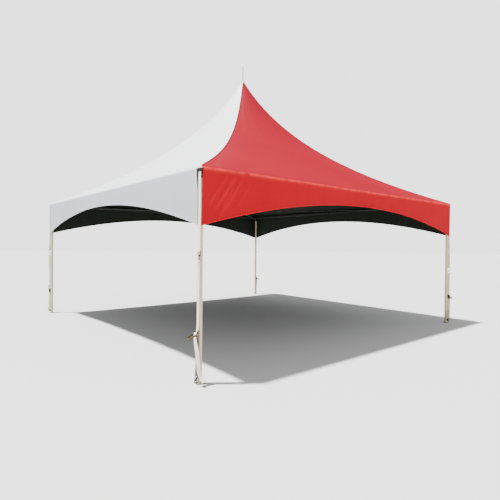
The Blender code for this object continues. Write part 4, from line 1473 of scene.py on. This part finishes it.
def makeRatchets():
    body, arm = makeRatchetBody(), makeHandle()
    for name, corner in corners.items():
        lean = Matrix.Rotation(-math.radians(corner["angle"]), 4, "Y")
        place = Matrix.Translation((-ratchetParts["axisOut"], corner["ratchetSide"], corner["ratchet"]))
        seat(copied(body, "ratchet_body_" + name, place), corner, "zinc_steel", "ratchet_" + name)
        seat(copied(arm, "handle_" + name, place @ lean), corner, "zinc_steel",
             "ratchet_handle_" + name, body="handle_" + name)
    for piece in (body, arm):
        bpy.data.objects.remove(piece, do_unlink=True)


tail = {
    "width": 0.046, "thickness": 0.0025, "startAbove": 0.004, "steps": 8,
    # Distance out, share of the swing, share of the height, and turn of the strap in degrees
    "route": [
        (0.07655, 0.00, 1.00, 0), (0.07655, 0.03, 0.93, 3), (0.0740, 0.12, 0.80, 18),
        (0.0690, 0.29, 0.62, 30), (0.0620, 0.46, 0.31, 38), (0.0550, 0.71, 0.20, 40),
        (0.0450, 1.00, 0.10, 42),
    ],
}


def makeTail(name, corner):
    # The loose end of the strap, hanging from the outer side of the spool to just above the ground
    start = corner["ratchet"] + tail["startAbove"]
    rows = [(-out, corner["ratchetSide"] - swing * corner["tailSwing"], high * start, turn)
            for out, swing, high, turn in tail["route"]]
    columns, spans, steps = list(zip(*rows)), len(rows) - 1, tail["steps"]
    places = [(i, k / steps) for i in range(spans) for k in range(steps)] + [(spans - 1, 1.0)]
    line = [tuple(through(column, i, t) for column in columns) for i, t in places]
    piece = webbingPiece("loose_tail_" + name, line, tail["width"], "white",
                         thickness=tail["thickness"])
    seat(piece, corner, "webbing", "strap_tail_" + name)
    matrix = cornerMatrix(corner["turns"], corner["hand"])
    path = [matrix @ Vector(point[:3]) for point in line]
    length = sum((b - a).length for a, b in zip(path, path[1:]))


def makeRoll(name, corner):
    # The tail's part that is wound on the spool, between the turns of the upper webbing
    line = [(x, corner["ratchetSide"], z) for x, z in wound(corner["ratchet"], math.pi, 40)]
    piece = webbingPiece("wound_webbing_" + name, line, strap["ratchetWidth"], "white")
    return seat(piece, corner, "webbing")


for name, corner in corners.items():
    for make in (makeTail, makeCanopyStrap, makeRing, makeUpperHook, makeLowerHook, makeUpperStrap,
                 makeLowerStrap, makeRoll):
        make(name, corner)
makeRatchets()
print("straps and ratchets done")


# Camera, floor and light


camera = {
    "place": (-5.562, -6.906, 1.568), "yaw": 40.06, "pitch": -0.76, "roll": 0.54,
    "lens": 29.743, "sensor": 36.0, "far": 500,
}


def makeCamera():
    yaw, pitch, roll = (math.radians(camera[key]) for key in ("yaw", "pitch", "roll"))
    level = Vector((math.sin(yaw), math.cos(yaw), 0))
    side = Vector((math.cos(yaw), -math.sin(yaw), 0))
    ahead = level * math.cos(pitch) + Vector((0, 0, math.sin(pitch)))
    rise = Vector((0, 0, math.cos(pitch))) - level * math.sin(pitch)
    right = side * math.cos(roll) + rise * math.sin(roll)
    up = rise * math.cos(roll) - side * math.sin(roll)
    data = bpy.data.cameras.new("camera")
    data.lens, data.sensor_width, data.clip_end = camera["lens"], camera["sensor"], camera["far"]
    thing = bpy.data.objects.new("camera", data)
    bpy.context.scene.collection.objects.link(thing)
    turn = Matrix((right, up, -ahead)).transposed().to_4x4()
    thing.matrix_world = Matrix.Translation(camera["place"]) @ turn
    bpy.context.scene.camera = thing


studio = {
    "floorSize": 160.0, "floorColour": (0.66, 0.66, 0.655, 1), "skyColour": (0.95, 0.97, 1.0, 1),
    "skyLight": 0.3, "backdrop": 3.3,
    "lamps": {
        "sun": {"strength": 12.5, "angle": 3.0, "from": (-0.25, 0.18, 1.0)},
        "fill": {"strength": 1.85, "angle": 135.0, "from": (-0.45, -1.0, 1.2)},
    },
}


def makeStudio():
    bpy.ops.object.select_all(action="DESELECT")
    bpy.ops.mesh.primitive_plane_add(size=studio["floorSize"], location=(0, 0, 0))
    floor = bpy.context.object
    floor.name = "floor"
    finish = Finish("studio_floor")
    floor.data.materials.append(finish.shade(Base_Color=studio["floorColour"], Roughness=0.9))
    world = bpy.data.worlds.new("studio")
    bpy.context.scene.world = world
    world.use_nodes = True
    tree = world.node_tree
    light = tree.nodes["Background"]
    light.inputs["Color"].default_value = studio["skyColour"]
    light.inputs["Strength"].default_value = studio["skyLight"]
    backdrop = tree.nodes.new("ShaderNodeBackground")
    backdrop.inputs["Strength"].default_value = studio["backdrop"]
    path = tree.nodes.new("ShaderNodeLightPath")
    mix = tree.nodes.new("ShaderNodeMixShader")
    tree.links.new(path.outputs["Is Camera Ray"], mix.inputs[0])
    tree.links.new(light.outputs[0], mix.inputs[1])
    tree.links.new(backdrop.outputs[0], mix.inputs[2])
    tree.links.new(mix.outputs[0], tree.nodes["World Output"].inputs["Surface"])
    for name, lamp in studio["lamps"].items():
        data = bpy.data.lights.new(name, "SUN")
        data.energy = lamp["strength"]
        data.angle = math.radians(lamp["angle"])
        thing = bpy.data.objects.new(name, data)
        bpy.context.scene.collection.objects.link(thing)
        thing.rotation_euler = Vector(lamp["from"]).to_track_quat("Z", "Y").to_euler()


makeCamera()
makeStudio()
print("camera, floor and light done")
